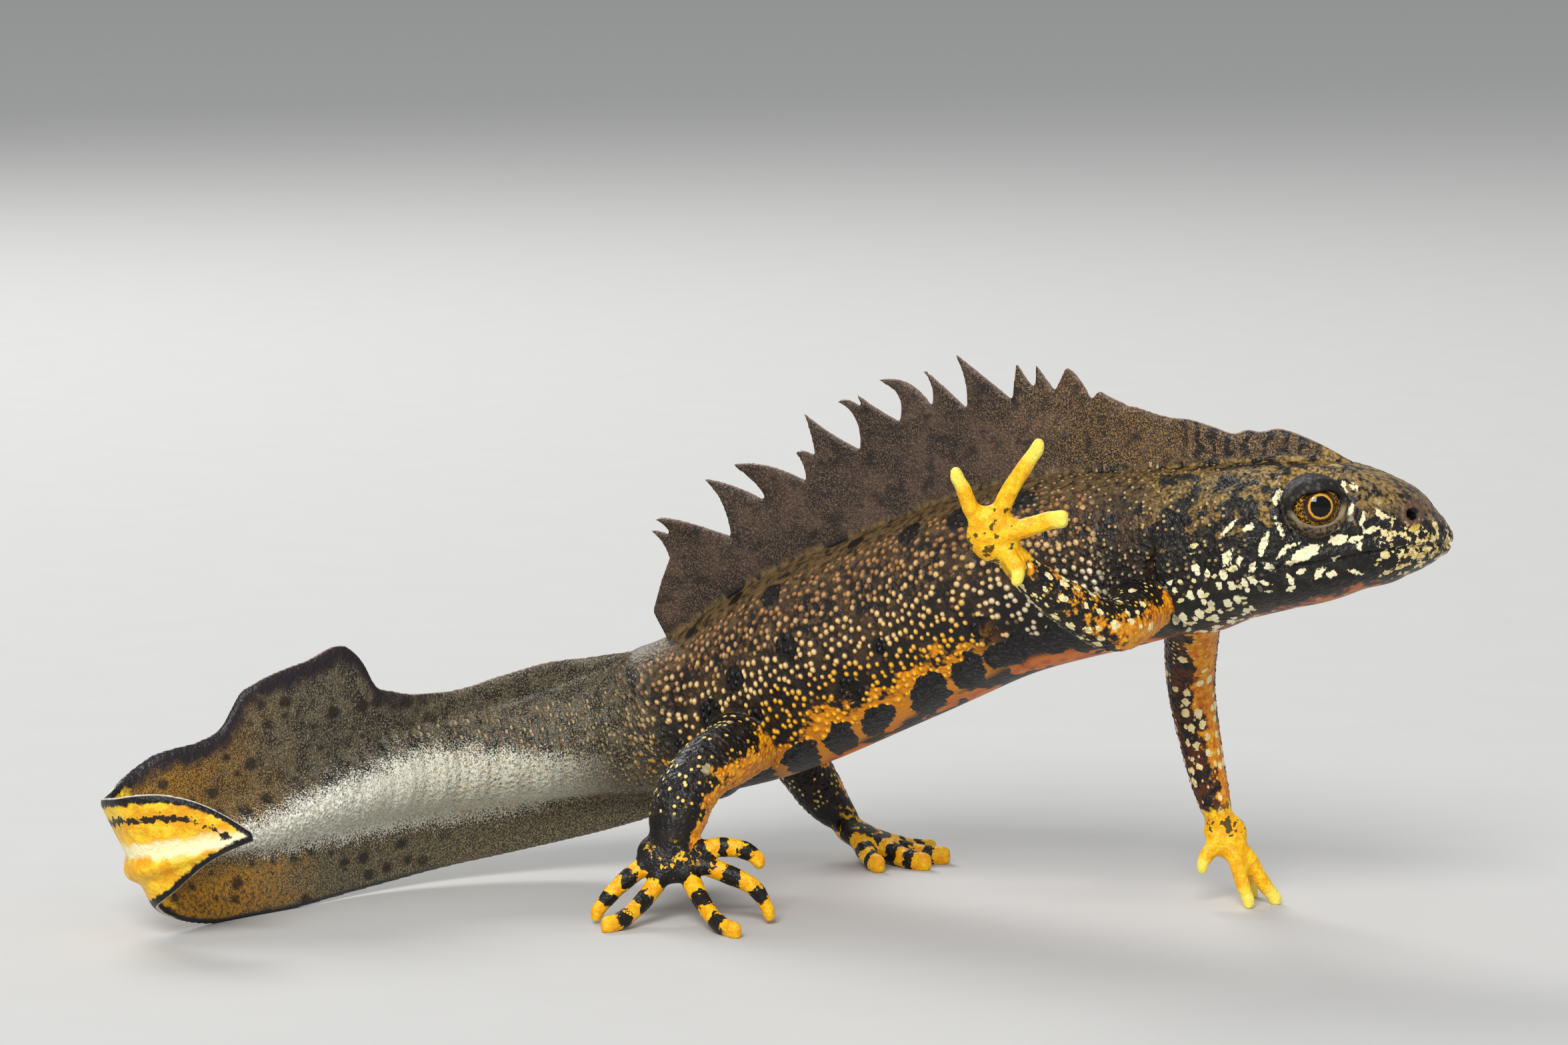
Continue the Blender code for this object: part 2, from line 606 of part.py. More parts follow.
def make_right_hind_leg():
    """The near hind leg: knee out toward the viewer, heel high, toes fanned down."""
    leg = Leg([(-2.6, 13.5, 12.6), (-3.3, 10.5, 12.3), (-4.4, 8.0, 11.8), (-6.1, 5.9, 11.0),
               (-7.5, 4.2, 9.3), (-8.2, 3.1, 7.3), (-8.5, 2.2, 5.4)],
              [2.9, 2.7, 2.5, 2.35, 2.3, 2.15, 1.4])
    make_arm_or_leg(("hind_leg_right_thigh", "hind_leg_right_shank"), leg, (8.6, 13.5),
                    ("3a2a16", "221a12"))
    sole = ((-8.5, 2.1, 5.0), (2.2, 2.75, 1.25), (-0.02, -0.45, -0.9), (0, -0.9, 0.45))
    toes = (
        [(-6.8, 2.3, 5.3), (-4.5, 2.5, 5.6), (-2.6, 2.4, 5.2), (-1.4, 2.3, 4.1)],
        [(-6.7, 1.8, 4.6), (-4.4, 1.3, 3.8), (-2.2, 0.9, 2.7), (-0.8, 0.7, 0.25)],
        [(-7.4, 1.5, 4.0), (-6.3, -0.6, 2.2), (-4.9, -3.0, 0.8), (-3.2, -5.2, 0.45)],
        [(-9.2, 1.5, 3.7), (-10.7, -0.1, 1.9), (-12.2, -1.6, 0.8), (-13.9, -2.9, 0.45)],
        [(-10.0, 2.0, 4.7), (-12.1, 1.4, 3.2), (-13.5, 1.0, 1.8), (-14.6, 0.7, 0.3)],
    )
    make_extremity("hind_leg_right_foot", leg, 13.5, sole, toes, 0.7, "b3811f")


def make_left_hind_leg():
    """The far hind leg, stepping forward on a flat foot."""
    leg = Leg([(-6.0, 19.0, 13.2), (-4.4, 23.0, 12.6), (-2.0, 26.8, 11.6), (-0.2, 28.5, 10.0),
               (1.6, 28.7, 7.4), (3.6, 28.1, 4.6), (5.6, 27.4, 2.6)],
              [3.0, 2.8, 2.6, 2.35, 2.15, 1.75, 0.9])
    make_arm_or_leg(("hind_leg_left_thigh", "hind_leg_left_shank"), leg, (11.3, 18.2),
                    ("3a2a16", "221a12"))
    sole = ((6.2, 27.1, 2.1), (2.4, 2.5, 1.05), (0.93, -0.2, -0.35), (0.35, 0, 1))
    toes = (
        [(6.2, 26.0, 1.8), (6.6, 24.2, 1.2), (7.2, 22.8, 0.7), (7.9, 21.5, 0.6)],
        [(7.2, 26.2, 1.7), (8.9, 24.9, 1.0), (10.4, 23.8, 0.65), (11.9, 22.9, 0.6)],
        [(7.6, 26.9, 1.6), (9.6, 26.5, 0.95), (11.8, 26.1, 0.65), (13.6, 25.9, 0.6)],
        [(7.4, 27.7, 1.7), (9.3, 28.3, 1.0), (11.0, 29.1, 0.65), (12.5, 29.9, 0.6)],
        [(6.5, 28.4, 1.8), (7.5, 29.8, 1.1), (8.5, 31.1, 0.7), (9.2, 32.2, 0.6)],
    )
    make_extremity("hind_leg_left_foot", leg, 18.2, sole, toes, 0.8, "b3811f")


# ------------------------------------------------------------------ the whole animal
def centre_over_floor():
    """Move the animal so that the middle of its base is at the origin."""
    bpy.context.view_layer.update()
    seen = bpy.context.evaluated_depsgraph_get()
    solids = [thing for thing in parts.objects if thing.type == "MESH"]
    corners = [thing.matrix_world @ Vector(corner) for thing in solids
               for corner in thing.evaluated_get(seen).bound_box]
    middle = [(min(c[i] for c in corners) + max(c[i] for c in corners)) / 2 for i in (0, 1)]
    stage.location = (-middle[0], -middle[1], 0.0)
    bpy.context.view_layer.update()
    print("moved by mm:", [round(-m / MM, 3) for m in middle])


def main():
    """Build every part, then set the animal over the origin."""
    make_head()
    make_body()
    make_crest()
    make_right_foreleg()
    make_left_foreleg()
    make_right_hind_leg()
    make_left_hind_leg()
    centre_over_floor()


main()
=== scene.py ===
# %% [markdown]
# # A great crested newt for a museum case
#
# The animal is a male great crested newt in breeding dress, life size: about 127 mm along
# its bent back, one forefoot raised, the end of the tail folded back. The measured model
# that is loaded first gives every place and size. This lesson covers it with one skin.
#
# All modelling below is done in millimetres, because a newt is small and millimetres are
# easy to think in. The skin becomes metres once, when it is finished.

# %% Load the measured model
import json
import math

import bmesh
import bpy
import numpy as np
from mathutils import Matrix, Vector
from mathutils.bvhtree import BVHTree
from mathutils.kdtree import KDTree

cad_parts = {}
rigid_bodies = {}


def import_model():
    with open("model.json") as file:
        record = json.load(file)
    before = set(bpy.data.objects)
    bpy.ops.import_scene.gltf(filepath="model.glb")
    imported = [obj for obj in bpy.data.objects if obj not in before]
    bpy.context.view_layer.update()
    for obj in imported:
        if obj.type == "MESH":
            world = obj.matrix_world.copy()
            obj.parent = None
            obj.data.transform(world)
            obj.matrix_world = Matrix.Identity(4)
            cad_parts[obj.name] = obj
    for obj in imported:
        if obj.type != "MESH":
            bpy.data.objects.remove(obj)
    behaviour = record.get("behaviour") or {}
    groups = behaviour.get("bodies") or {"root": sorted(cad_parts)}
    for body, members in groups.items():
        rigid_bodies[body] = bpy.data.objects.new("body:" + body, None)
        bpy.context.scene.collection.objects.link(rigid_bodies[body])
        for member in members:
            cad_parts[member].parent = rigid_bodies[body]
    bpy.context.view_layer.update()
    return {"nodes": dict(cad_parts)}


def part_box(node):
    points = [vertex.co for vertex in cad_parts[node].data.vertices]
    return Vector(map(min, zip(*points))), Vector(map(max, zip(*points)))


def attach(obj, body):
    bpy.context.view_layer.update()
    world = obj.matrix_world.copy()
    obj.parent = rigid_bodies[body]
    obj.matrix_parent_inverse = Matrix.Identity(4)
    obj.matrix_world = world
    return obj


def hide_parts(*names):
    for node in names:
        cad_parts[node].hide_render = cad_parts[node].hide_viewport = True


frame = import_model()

MM = 0.001      # one millimetre in metres
print("measured model:", len(frame["nodes"]), "parts")

# %% [markdown]
# ## Smooth curves through measured values
#
# A newt's outline is a set of smooth curves: how high the back is, how deep the belly,
# how wide the flank, each read at a distance from the snout. A curve through a few values
# is easy to change by hand. It could be a spline object, but a function that reads many
# places at once is quicker here, because the skin asks it for thousands of points.


# %% Curves through values
def smooth(keys):
    """A smooth curve through the values of keys, read at one distance or at many."""
    places = np.array(sorted(keys), float)
    values = np.array([keys[p] for p in sorted(keys)], float)
    widths = np.diff(places)
    if values.ndim == 2:
        widths = widths[:, None]
    steps = np.diff(values, axis=0) / widths
    middle = (steps[:-1] * widths[1:] + steps[1:] * widths[:-1]) / (widths[1:] + widths[:-1])
    slopes = np.concatenate([steps[:1], middle, steps[-1:]])

    def read(place):
        place = np.clip(np.asarray(place, float), places[0], places[-1])
        i = np.clip(np.searchsorted(places, place, side="right") - 1, 0, len(places) - 2)
        span = places[i + 1] - places[i]
        t = (place - places[i]) / span
        if values.ndim == 2:
            span, t = span[..., None], t[..., None]
        return (values[i] * (1 + 2 * t) * (1 - t) ** 2 + slopes[i] * (span * t * (1 - t) ** 2)
                + values[i + 1] * (t * t * (3 - 2 * t)) - slopes[i + 1] * (span * t * t * (1 - t)))

    return read


def unit(vectors):
    """The same directions at length 1."""
    return vectors / np.linalg.norm(vectors, axis=-1, keepdims=True)


def ease(value, start, end):
    """0 before start, 1 after end, and a soft step between; end may be below start."""
    t = np.clip((np.asarray(value, float) - start) / (end - start), 0.0, 1.0)
    return t * t * (3 - 2 * t)


print("a curve through 0, 4 and 6 reads", float(smooth({0: 0.0, 1: 4.0, 2: 6.0})(0.5)), "half way to 4")

# %% [markdown]
# ## The body's measures
#
# These are the same measures as the model's own: the middle line of the body from the
# snout to the tip of the tail, and around it the back, the belly, the width and the
# muscle of the tail. A place on the newt is then three numbers: how far along from the
# snout, how far out to the animal's right, and how high over the middle line. The folded
# tail needs nothing special, because its middle line turns back by itself.

# %% Measures of the body
BODY_LENGTH = 127.3                                               # mm along the bent middle line
EYE_ALONG, EYE_HIGH, EYE_RADIUS, EYE_DEPTH = 9.6, 2.35, 1.9, 1.0  # mm
FIN = 0.33                                                        # mm: half thickness of a fin

# at mm from the snout: a point of the middle line
route = smooth({
    0.0: (49.3, -4.0, 30.0), 2.8: (46.6, -3.8, 30.8), 6.2: (43.2, -3.5, 31.1),
    11.5: (38.0, -3.0, 30.5), 17.6: (32.2, -1.5, 29.2), 24.0: (26.5, 1.0, 28.1),
    33.8: (17.9, 5.0, 25.8), 41.3: (12.0, 8.5, 23.2), 48.7: (6.0, 11.5, 20.4),
    56.3: (0.0, 14.5, 17.3), 63.8: (-6.1, 17.0, 14.3), 68.0: (-9.6, 18.3, 12.6),
    73.5: (-14.7, 19.2, 10.9), 81.1: (-22.1, 18.0, 9.4), 91.7: (-31.5, 13.0, 8.5),
    98.0: (-36.4, 8.8, 7.7), 101.7: (-39.1, 6.5, 7.0), 105.6: (-42.1, 4.0, 6.35),
    109.8: (-45.2, 1.2, 5.6), 115.0: (-48.4, -2.8, 5.05), 118.8: (-47.5, -6.2, 5.6),
    122.6: (-44.0, -7.5, 6.8), 127.3: (-39.4, -7.8, 8.3),
})
# height of the back, then of the belly, over the middle line
top = smooth({
    0.0: 0.8, 0.4: 1.2, 1.2: 1.7, 2.6: 2.7, 3.9: 3.4, 5.3: 4.0, 8.2: 4.9, 10.6: 5.3,
    16.3: 6.1, 23.0: 6.6, 29.6: 7.4, 38.0: 7.6, 45.9: 7.7, 57.0: 7.4, 64.6: 6.2,
    71.1: 7.1, 76.0: 7.8, 80.7: 7.5, 86.3: 6.9, 90.3: 7.5, 91.7: 8.3, 92.6: 10.2,
    93.6: 11.5, 97.2: 11.3, 101.0: 10.7, 102.4: 10.3, 103.4: 9.3, 104.4: 8.2, 106.3: 7.6,
    108.4: 7.7, 110.0: 7.7, 112.0: 7.1, 114.3: 6.1, 118.0: 5.9, 120.8: 5.7, 122.6: 5.0,
    124.6: 3.6, 126.0: 2.1, 127.3: 0.4,
})
low = smooth({
    0.0: -1.2, 0.4: -1.8, 0.9: -2.4, 2.5: -3.6, 6.3: -4.8, 9.3: -5.4, 12.7: -5.6,
    15.9: -5.75, 18.2: -5.9, 20.5: -6.2, 25.4: -6.7, 36.7: -7.2, 44.8: -7.7, 60.5: -7.6,
    66.0: -7.0, 75.0: -7.5, 84.0: -7.7, 90.7: -8.0, 98.3: -7.6, 105.6: -6.6, 109.3: -6.0,
    111.6: -5.3, 113.8: -4.3, 116.0: -3.5, 120.4: -2.4, 123.0: -1.2, 125.3: -0.6, 127.3: -0.4,
})
# half width of the body; half height of the tail's muscle, and how high its middle lies
wide = smooth({
    0.0: 1.3, 0.4: 2.1, 1.0: 2.9, 2.0: 3.8, 3.0: 4.4, 6.0: 5.4, 10.0: 6.1, 14.0: 6.5,
    18.0: 6.0, 22.0: 6.0, 26.0: 6.4, 35.0: 7.0, 45.0: 7.3, 55.0: 6.9, 62.0: 6.1,
    68.0: 5.3, 74.0: 4.5, 81.0: 3.8, 91.0: 2.9, 100.0: 2.2, 108.0: 1.6, 114.0: 1.2,
    120.0: 0.8, 127.3: 0.4,
})
muscle = smooth({0.0: 9.0, 62.0: 8.5, 68.0: 6.0, 75.0: 4.9, 84.0: 4.0, 92.0: 3.4, 100.0: 2.7,
                 108.0: 2.0, 114.0: 1.5, 120.0: 1.0, 127.3: 0.4})
muscle_middle = smooth({0.0: 0.0, 66.0: 0.0, 75.0: 0.8, 90.0: 0.6, 100.0: 0.2, 127.3: 0.0})
# shape of the section: how square, and how slowly it thins to its edges
square = smooth({0.0: 2.3, 12.0: 2.5, 20.0: 2.3, 40.0: 2.15, 66.0: 2.0, 127.3: 2.0})
fade = smooth({0.0: 0.43, 12.0: 0.4, 20.0: 0.43, 40.0: 0.47, 62.0: 0.5, 70.0: 0.62, 82.0: 0.85,
               127.3: 0.9})
# how far the tail leans over, in degrees; height of the cleft of the mouth
lean = smooth({0.0: 0.0, 98.0: 0.0, 108.0: 12.0, 115.0: 27.0, 121.0: 14.0, 127.3: 4.0})
mouth = smooth({-1.0: -0.15, 0.0: -0.15, 1.2: -0.5, 2.2: -0.75, 3.9: -1.1, 5.6: -1.4, 7.8: -1.65,
                10.3: -1.7, 12.4: -1.7, 14.0: -2.1})
print("the newt is", BODY_LENGTH, "mm long and", 2 * float(wide(45.0)), "mm wide at the trunk")


# %% Places on the body
def half_width(along, high):
    """Half width of the body at a height: flesh in the middle, fins above and below."""
    middle = muscle_middle(along)
    upper = np.minimum(top(along), middle + muscle(along))
    under = np.maximum(low(along), middle - muscle(along))
    centre = (upper + under) / 2
    reach = np.minimum(np.abs(high - centre) / ((upper - under) / 2), 1.0)
    flesh = wide(along) * (1 - reach ** square(along)) ** fade(along)
    brow = 0.5 * np.exp(-((along - 9.5) ** 2 + (high - 3.1) ** 2) / 2.3 ** 2)
    flesh = flesh + brow
    edge = np.clip(np.minimum(top(along) - high, high - low(along)), 0.0, 0.5)
    fin = FIN * np.sqrt(edge / 0.5)      # a fin's edge is round over its last half millimetre
    return np.cbrt(flesh ** 3 + np.minimum(fin, wide(along)) ** 3)


def directions(along):
    """The body's tailward, upward and rightward directions at a distance."""
    tailward = unit(route(along + 0.3) - route(along - 0.3))
    upward = unit(np.array([0.0, 0.0, 1.0]) - tailward * tailward[..., 2:3])
    rightward = np.cross(upward, tailward)
    turn = np.radians(lean(along))[..., None]
    upward = unit(upward * np.cos(turn) - rightward * np.sin(turn))
    return tailward, upward, np.cross(upward, tailward)


def place_unmoved(along, right, high):
    """A point in space from its distance, side and height on the body."""
    along, right, high = np.broadcast_arrays(*[np.asarray(v, float) for v in (along, right, high)])
    inside = np.clip(along, 0.0, BODY_LENGTH)
    tailward, upward, rightward = directions(inside)
    return (route(inside) + tailward * (along - inside)[..., None]
            + rightward * right[..., None] + upward * high[..., None])


eye_out = float(half_width(EYE_ALONG, EYE_HIGH)) - EYE_DEPTH
eye_low, eye_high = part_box("eye_right")
SHIFT = np.array((eye_low + eye_high) / 2) / MM - place_unmoved(EYE_ALONG, eye_out, EYE_HIGH)
print("the measured model stands", SHIFT.round(3), "mm from the pose's own centre")


def place(along, right, high):
    """A point of the standing animal, in mm, from its distance, side and height."""
    return place_unmoved(along, right, high) + SHIFT


# %% [markdown]
# ## Closed shapes that overlap
#
# A newt has no seams, so the skin can't be many parts side by side. Here each form is
# first a closed shape of its own: the body, the sail of the crest, its teeth, the legs,
# the hands and feet, the toes and the eyelids. They overlap freely. Later one remesh
# walks round the outside of all of them and leaves a single skin. It is quick, and it
# doesn't fail where many shapes meet, as a chain of Booleans may.


# %% Rows of points to closed shapes
def closed(rows):
    """Corners and faces of a closed shape through rows with equal numbers of points."""
    rows = np.asarray(rows, float)
    count, sides = rows.shape[:2]
    index = np.arange(count * sides).reshape(count, sides)
    after = np.roll(index, -1, axis=1)
    quads = np.stack([index[:-1], after[:-1], after[1:], index[1:]], -1).reshape(-1, 4)
    return rows.reshape(-1, 3), [*quads.tolist(), index[0, ::-1].tolist(), index[-1].tolist()]


def tube(line, radii, sides=20):
    """A bent round bar with round ends; line is where its middle runs."""
    line, radii = np.asarray(line, float), np.asarray(radii, float)
    aims = unit(np.gradient(line, axis=0))
    side = unit(np.cross(aims[0], (0.31, 0.17, 0.93)))      # any direction across the line
    turn = np.linspace(0, 2 * np.pi, sides, endpoint=False)[:, None]
    rows = []
    for point, aim, radius in zip(line, aims, radii):
        side = unit(side - aim * (side @ aim))
        rows.append(point + radius * (np.cos(turn) * side + np.sin(turn) * np.cross(aim, side)))
    ends = []
    for end, out in ((0, -1), (-1, 1)):
        rim = rows[end] - line[end]
        ends.append([line[end] + rim * math.sqrt(1 - bow * bow) + aims[end] * out * radii[end] * bow
                     for bow in (0.5, 0.8, 0.96)])
    return closed(ends[0][::-1] + rows + ends[1])


print("a straight tube has", len(tube([(0, 0, 0), (0, 0, 9)], [1, 1])[0]), "corners")

# %% [markdown]
# ## The body in one loft
#
# Head, neck, trunk and tail are one form on the living animal, so they are one loft here:
# a ring of points every 0.2 to 0.4 mm, closest at the snout and where the tail folds. The
# snout gets a few shrinking rings in front, so that it ends round.

# %% The body
SIDES = 104           # points in each ring
SNOUT_TIP = 0.45      # mm that the round tip reaches ahead of the first ring


def body_ring(along):
    """The body's outline at a distance, from the back round the right side."""
    nose = math.sqrt(max(0.0, 1 - (min(along, 0.0) / SNOUT_TIP) ** 2))
    turn = 2 * np.pi * np.arange(SIDES) / SIDES
    upper, under = top(along), low(along)
    high = (upper + under) / 2 + (upper - under) / 2 * np.cos(turn)
    out = half_width(along, high) * np.sign(np.sin(turn).round(9))
    return along, out * nose, (high + 0.2) * nose - 0.2 if along < 0 else high


body_stops = np.concatenate([[-0.43, -0.36, -0.25, -0.12], np.arange(0.0, 4.0, 0.2),
                             np.arange(4.0, 104.0, 0.4), np.arange(104.0, 127.31, 0.25)])
body_marks = np.array([np.stack(np.broadcast_arrays(*body_ring(along)), -1) for along in body_stops])
shapes = {"body": closed(place(*np.moveaxis(body_marks, -1, 0)))}
print("body:", len(body_stops), "rings of", SIDES, "points")

# %% [markdown]
# ## The crest and its teeth
#
# The breeding crest is a sheet of skin, thick at its foot and thin at its edge, cut into
# hooked teeth. The sail is a loft along the back. Each tooth is a blade between its front
# and its rear edge, both bent, so that the tips lean back. Each tooth also leans a little
# to one side, as wet skin does when it stands without support.

# %% The sail of the crest
CREST_START, CREST_END = 6.0, 63.9      # mm from the snout
FOOT_DEEP = 1.3                         # mm that the sheet reaches down into the back
# height of the sail's edge between the teeth, over the middle line
crest = smooth({
    6.0: 3.9, 7.2: 4.85, 8.4: 5.9, 9.7: 6.9, 10.7: 7.5, 11.5: 7.8, 12.7: 7.8, 13.3: 8.1,
    14.2: 8.0, 15.6: 8.8, 17.0: 9.5, 19.7: 10.2, 22.6: 11.5, 24.8: 12.1,
    27.4: 13.3, 28.8: 13.8, 30.4: 13.4, 33.3: 13.6, 35.5: 14.6, 37.9: 14.3, 41.9: 13.6,
    46.9: 12.9, 50.6: 12.7, 54.4: 11.4, 57.5: 12.2, 60.1: 12.1, 61.5: 11.0, 63.9: 8.6,
})


def crest_sway(along, high):
    """How far the thin crest waves out to the right, more toward its edge."""
    rise = np.clip((high - 8.0) / 8.0, 0.0, 1.2) ** 1.5
    long_wave, short_wave = np.sin(along / 2.9 + 0.7), np.sin(along / 1.27 + 2.0)      # 18 and 8 mm
    return rise * (0.35 * long_wave + 0.22 * short_wave)


def crest_half(along, high):
    """Half thickness of the crest at a height over its foot."""
    rise = np.clip((high - top(along)) / 4.0, 0.0, 1.0)
    return 0.62 - 0.34 * rise ** 0.6


def flat_ring(along, high, half):
    """A thin closed outline: out along one face of a sheet and back along the other."""
    along, high, half = np.asarray(along, float), np.asarray(high, float), np.asarray(half, float)
    sway = crest_sway(along, high)
    right = np.concatenate([sway + half, (sway - half)[::-1]])
    return (np.concatenate([along, along[::-1]]), right, np.concatenate([high, high[::-1]]))


crest_marks = []
for along in np.arange(CREST_START, CREST_END + 0.01, 0.25):
    foot, edge = float(top(along)) - FOOT_DEEP, float(crest(along))
    high = foot + (edge - foot) * np.array([0, 0.15, 0.3, 0.45, 0.6, 0.72, 0.82, 0.9, 0.96, 1.0])
    half = crest_half(along, high) * np.array([1, 1, 1, 1, 1, 1, 1, 1, 0.8, 0.3])
    crest_marks.append(np.stack(flat_ring(np.full(10, along), high, half), -1))
crest_marks = np.array(crest_marks)
shapes["crest"] = closed(place(*np.moveaxis(crest_marks, -1, 0)))
print("the crest rises", round(float((crest(body_stops) - top(body_stops)).max()), 1), "mm over the back")

# %% Its teeth
# mm along and high of each tooth: its foot and bend in front, its tip, its bend and foot behind
TEETH = (
    ((22.6, 11.6), (23.3, 12.1), (24.0, 12.8), (24.4, 12.6), (24.8, 12.2)),
    ((24.8, 12.2), (25.4, 14.0), (26.2, 15.0), (26.8, 14.2), (27.4, 13.4)),
    ((27.4, 13.4), (28.0, 14.8), (28.4, 15.9), (28.4, 15.1), (28.7, 14.0)),
    ((28.8, 14.0), (29.2, 15.0), (29.5, 16.1), (29.9, 14.8), (30.3, 13.5)),
    ((30.4, 13.5), (31.9, 16.0), (33.0, 17.9), (32.9, 15.9), (33.3, 13.8)),
    ((33.4, 13.7), (34.6, 16.3), (35.5, 18.2), (35.0, 16.4), (35.4, 14.7)),
    ((35.5, 14.7), (36.4, 17.0), (38.0, 18.0), (37.2, 16.2), (37.9, 14.4)),
    ((37.9, 14.4), (39.1, 16.2), (40.0, 17.7), (39.9, 16.2), (40.2, 14.4)),
    ((39.5, 15.0), (40.5, 17.1), (42.0, 17.7), (41.1, 16.0), (41.9, 13.7)),
    ((42.1, 13.7), (43.8, 15.8), (44.9, 17.8), (45.1, 16.0), (45.6, 14.0)),
    ((45.0, 13.6), (45.9, 15.0), (46.7, 15.3), (46.6, 14.2), (46.9, 13.0)),
    ((46.9, 12.9), (49.2, 15.2), (51.6, 16.4), (50.6, 14.1), (50.6, 12.8)),
    ((50.6, 12.8), (52.3, 14.9), (54.0, 16.5), (53.7, 14.2), (54.4, 11.6)),
    ((54.4, 11.4), (57.6, 14.2), (59.8, 15.3), (59.2, 13.8), (60.0, 12.4)),
    ((58.8, 13.0), (59.7, 14.0), (60.6, 14.6), (60.2, 13.4), (60.3, 12.0)),
)


def bend_through(start, middle, end, t):
    """A point of the curve that passes start, middle and end at t of 0, a half and 1."""
    start, middle, end = (np.asarray(p, float) for p in (start, middle, end))
    pull = 2 * middle - (start + end) / 2
    return start * (1 - t) ** 2 + 2 * pull * t * (1 - t) + end * t * t


tooth_marks = []
across = np.array([0.0, 0.06, 0.2, 0.4, 0.6, 0.8, 0.94, 1.0])
for number, (front, front_bend, tip, rear_bend, rear) in enumerate(TEETH):
    rows = []
    for t in np.concatenate([[-1.0], np.linspace(0.0, 0.94, 14), [0.985]]):
        if t < 0:
            ahead, back = np.array(front) - (0.1, 1.4), np.array(rear) + (0.1, -1.4)
        else:
            ahead = bend_through(front, front_bend, tip, t)
            back = bend_through(rear, rear_bend, tip, t)
        middle = ahead + (back - ahead) * across[:, None]
        half = 0.28 * (1 - 0.25 * max(t, 0)) * np.array([0.5, 0.9, 1, 1, 1, 1, 0.9, 0.5])
        rows.append(np.stack(flat_ring(middle[:, 0], middle[:, 1], half), -1))
    tooth_marks.append(np.array(rows))
    shapes[f"tooth_{number}"] = closed(place(*np.moveaxis(tooth_marks[-1], -1, 0)))
print("teeth:", len(TEETH))

# %% [markdown]
# ## Legs, hands and feet
#
# A newt's leg is a soft limb with a round section: thick at the thigh, thin at the wrist.
# It is a tube along a smooth line, with a girth that is read from another curve. A hand
# has four fingers and a foot five toes. Each is a tube too, a little narrower between its
# joints, with a round tip. The palm is a ball pressed flat. The remesh joins them all.

# %% How a limb is made
RINGS_APART = 0.25      # mm along a leg


def lengths_along(points):
    """How far each point of a line is from its start."""
    return np.concatenate([[0.0], np.cumsum(np.linalg.norm(np.diff(points, axis=0), axis=1))])


class Limb:
    """A leg from shoulder or hip to the palm, and its fingers or toes."""

    def __init__(self, name, points, radii, palm, toes, toe_radius):
        points = np.array(points, float) + SHIFT
        marks = lengths_along(points)
        self.name, self.length = name, marks[-1]
        self.stops = np.arange(0.0, self.length, RINGS_APART)
        self.line = smooth(dict(zip(marks, map(tuple, points))))(self.stops)
        self.girth = smooth(dict(zip(marks, radii)))(self.stops)
        self.palm = [np.array(v, float) for v in palm]
        self.palm[0] = self.palm[0] + SHIFT
        self.toes = [self.toe_line(np.array(toe, float) + SHIFT, toe_radius) for toe in toes]

    def toe_line(self, points, radius):
        """A toe's middle line, its radii, and how far out each place is, 0 to 1."""
        marks = lengths_along(points)
        stops = np.linspace(0.0, marks[-1] - radius, 24)
        line = smooth(dict(zip(marks, map(tuple, points))))(stops)
        out = stops / stops[-1]
        knuckles = 0.05 * np.exp(-((out - 0.42) / 0.1) ** 2) + 0.05 * np.exp(-((out - 0.75) / 0.08) ** 2)
        girth = radius * (1.14 - 0.2 * out + knuckles + 0.06 * ease(out, 0.82, 1.0))
        return line, girth, out

    def shapes(self):
        """The closed shapes that make up the limb."""
        found = {self.name: tube(self.line, self.girth)}
        for number, (line, girth, _) in enumerate(self.toes):
            found[f"{self.name}_toe_{number}"] = tube(line, girth, 16)
        centre, size, forward, normal = self.palm
        forward = unit(forward)
        sideways = unit(np.cross(normal, forward))
        upward = np.cross(forward, sideways)
        rows = []
        for lift in np.linspace(-0.49, 0.49, 15) * np.pi:
            turn = np.linspace(0, 2 * np.pi, 28, endpoint=False)[:, None]
            rows.append(centre + forward * size[0] * np.cos(turn) * math.cos(lift)
                        + sideways * size[1] * np.sin(turn) * math.cos(lift)
                        + upward * size[2] * math.sin(lift))
        found[self.name + "_palm"] = closed(rows)
        return found


print("a line of 3 mm, then 4 mm:", lengths_along(np.array([(0, 0), (3, 0), (3, 4)])), "mm along")

# %% [markdown]
# ## The four limbs as this newt holds them
#
# The right forefoot is lifted with its palm turned out, and the other three feet stand on
# the floor. Each limb is a few points from shoulder or hip to the palm, with a girth at
# each. A palm is its middle, its three half sizes and two directions; a toe is four
# points. All are in mm from the pose's own centre. Points are the simplest way to hold a
# pose that never moves; bones would only be worth it for one that does.

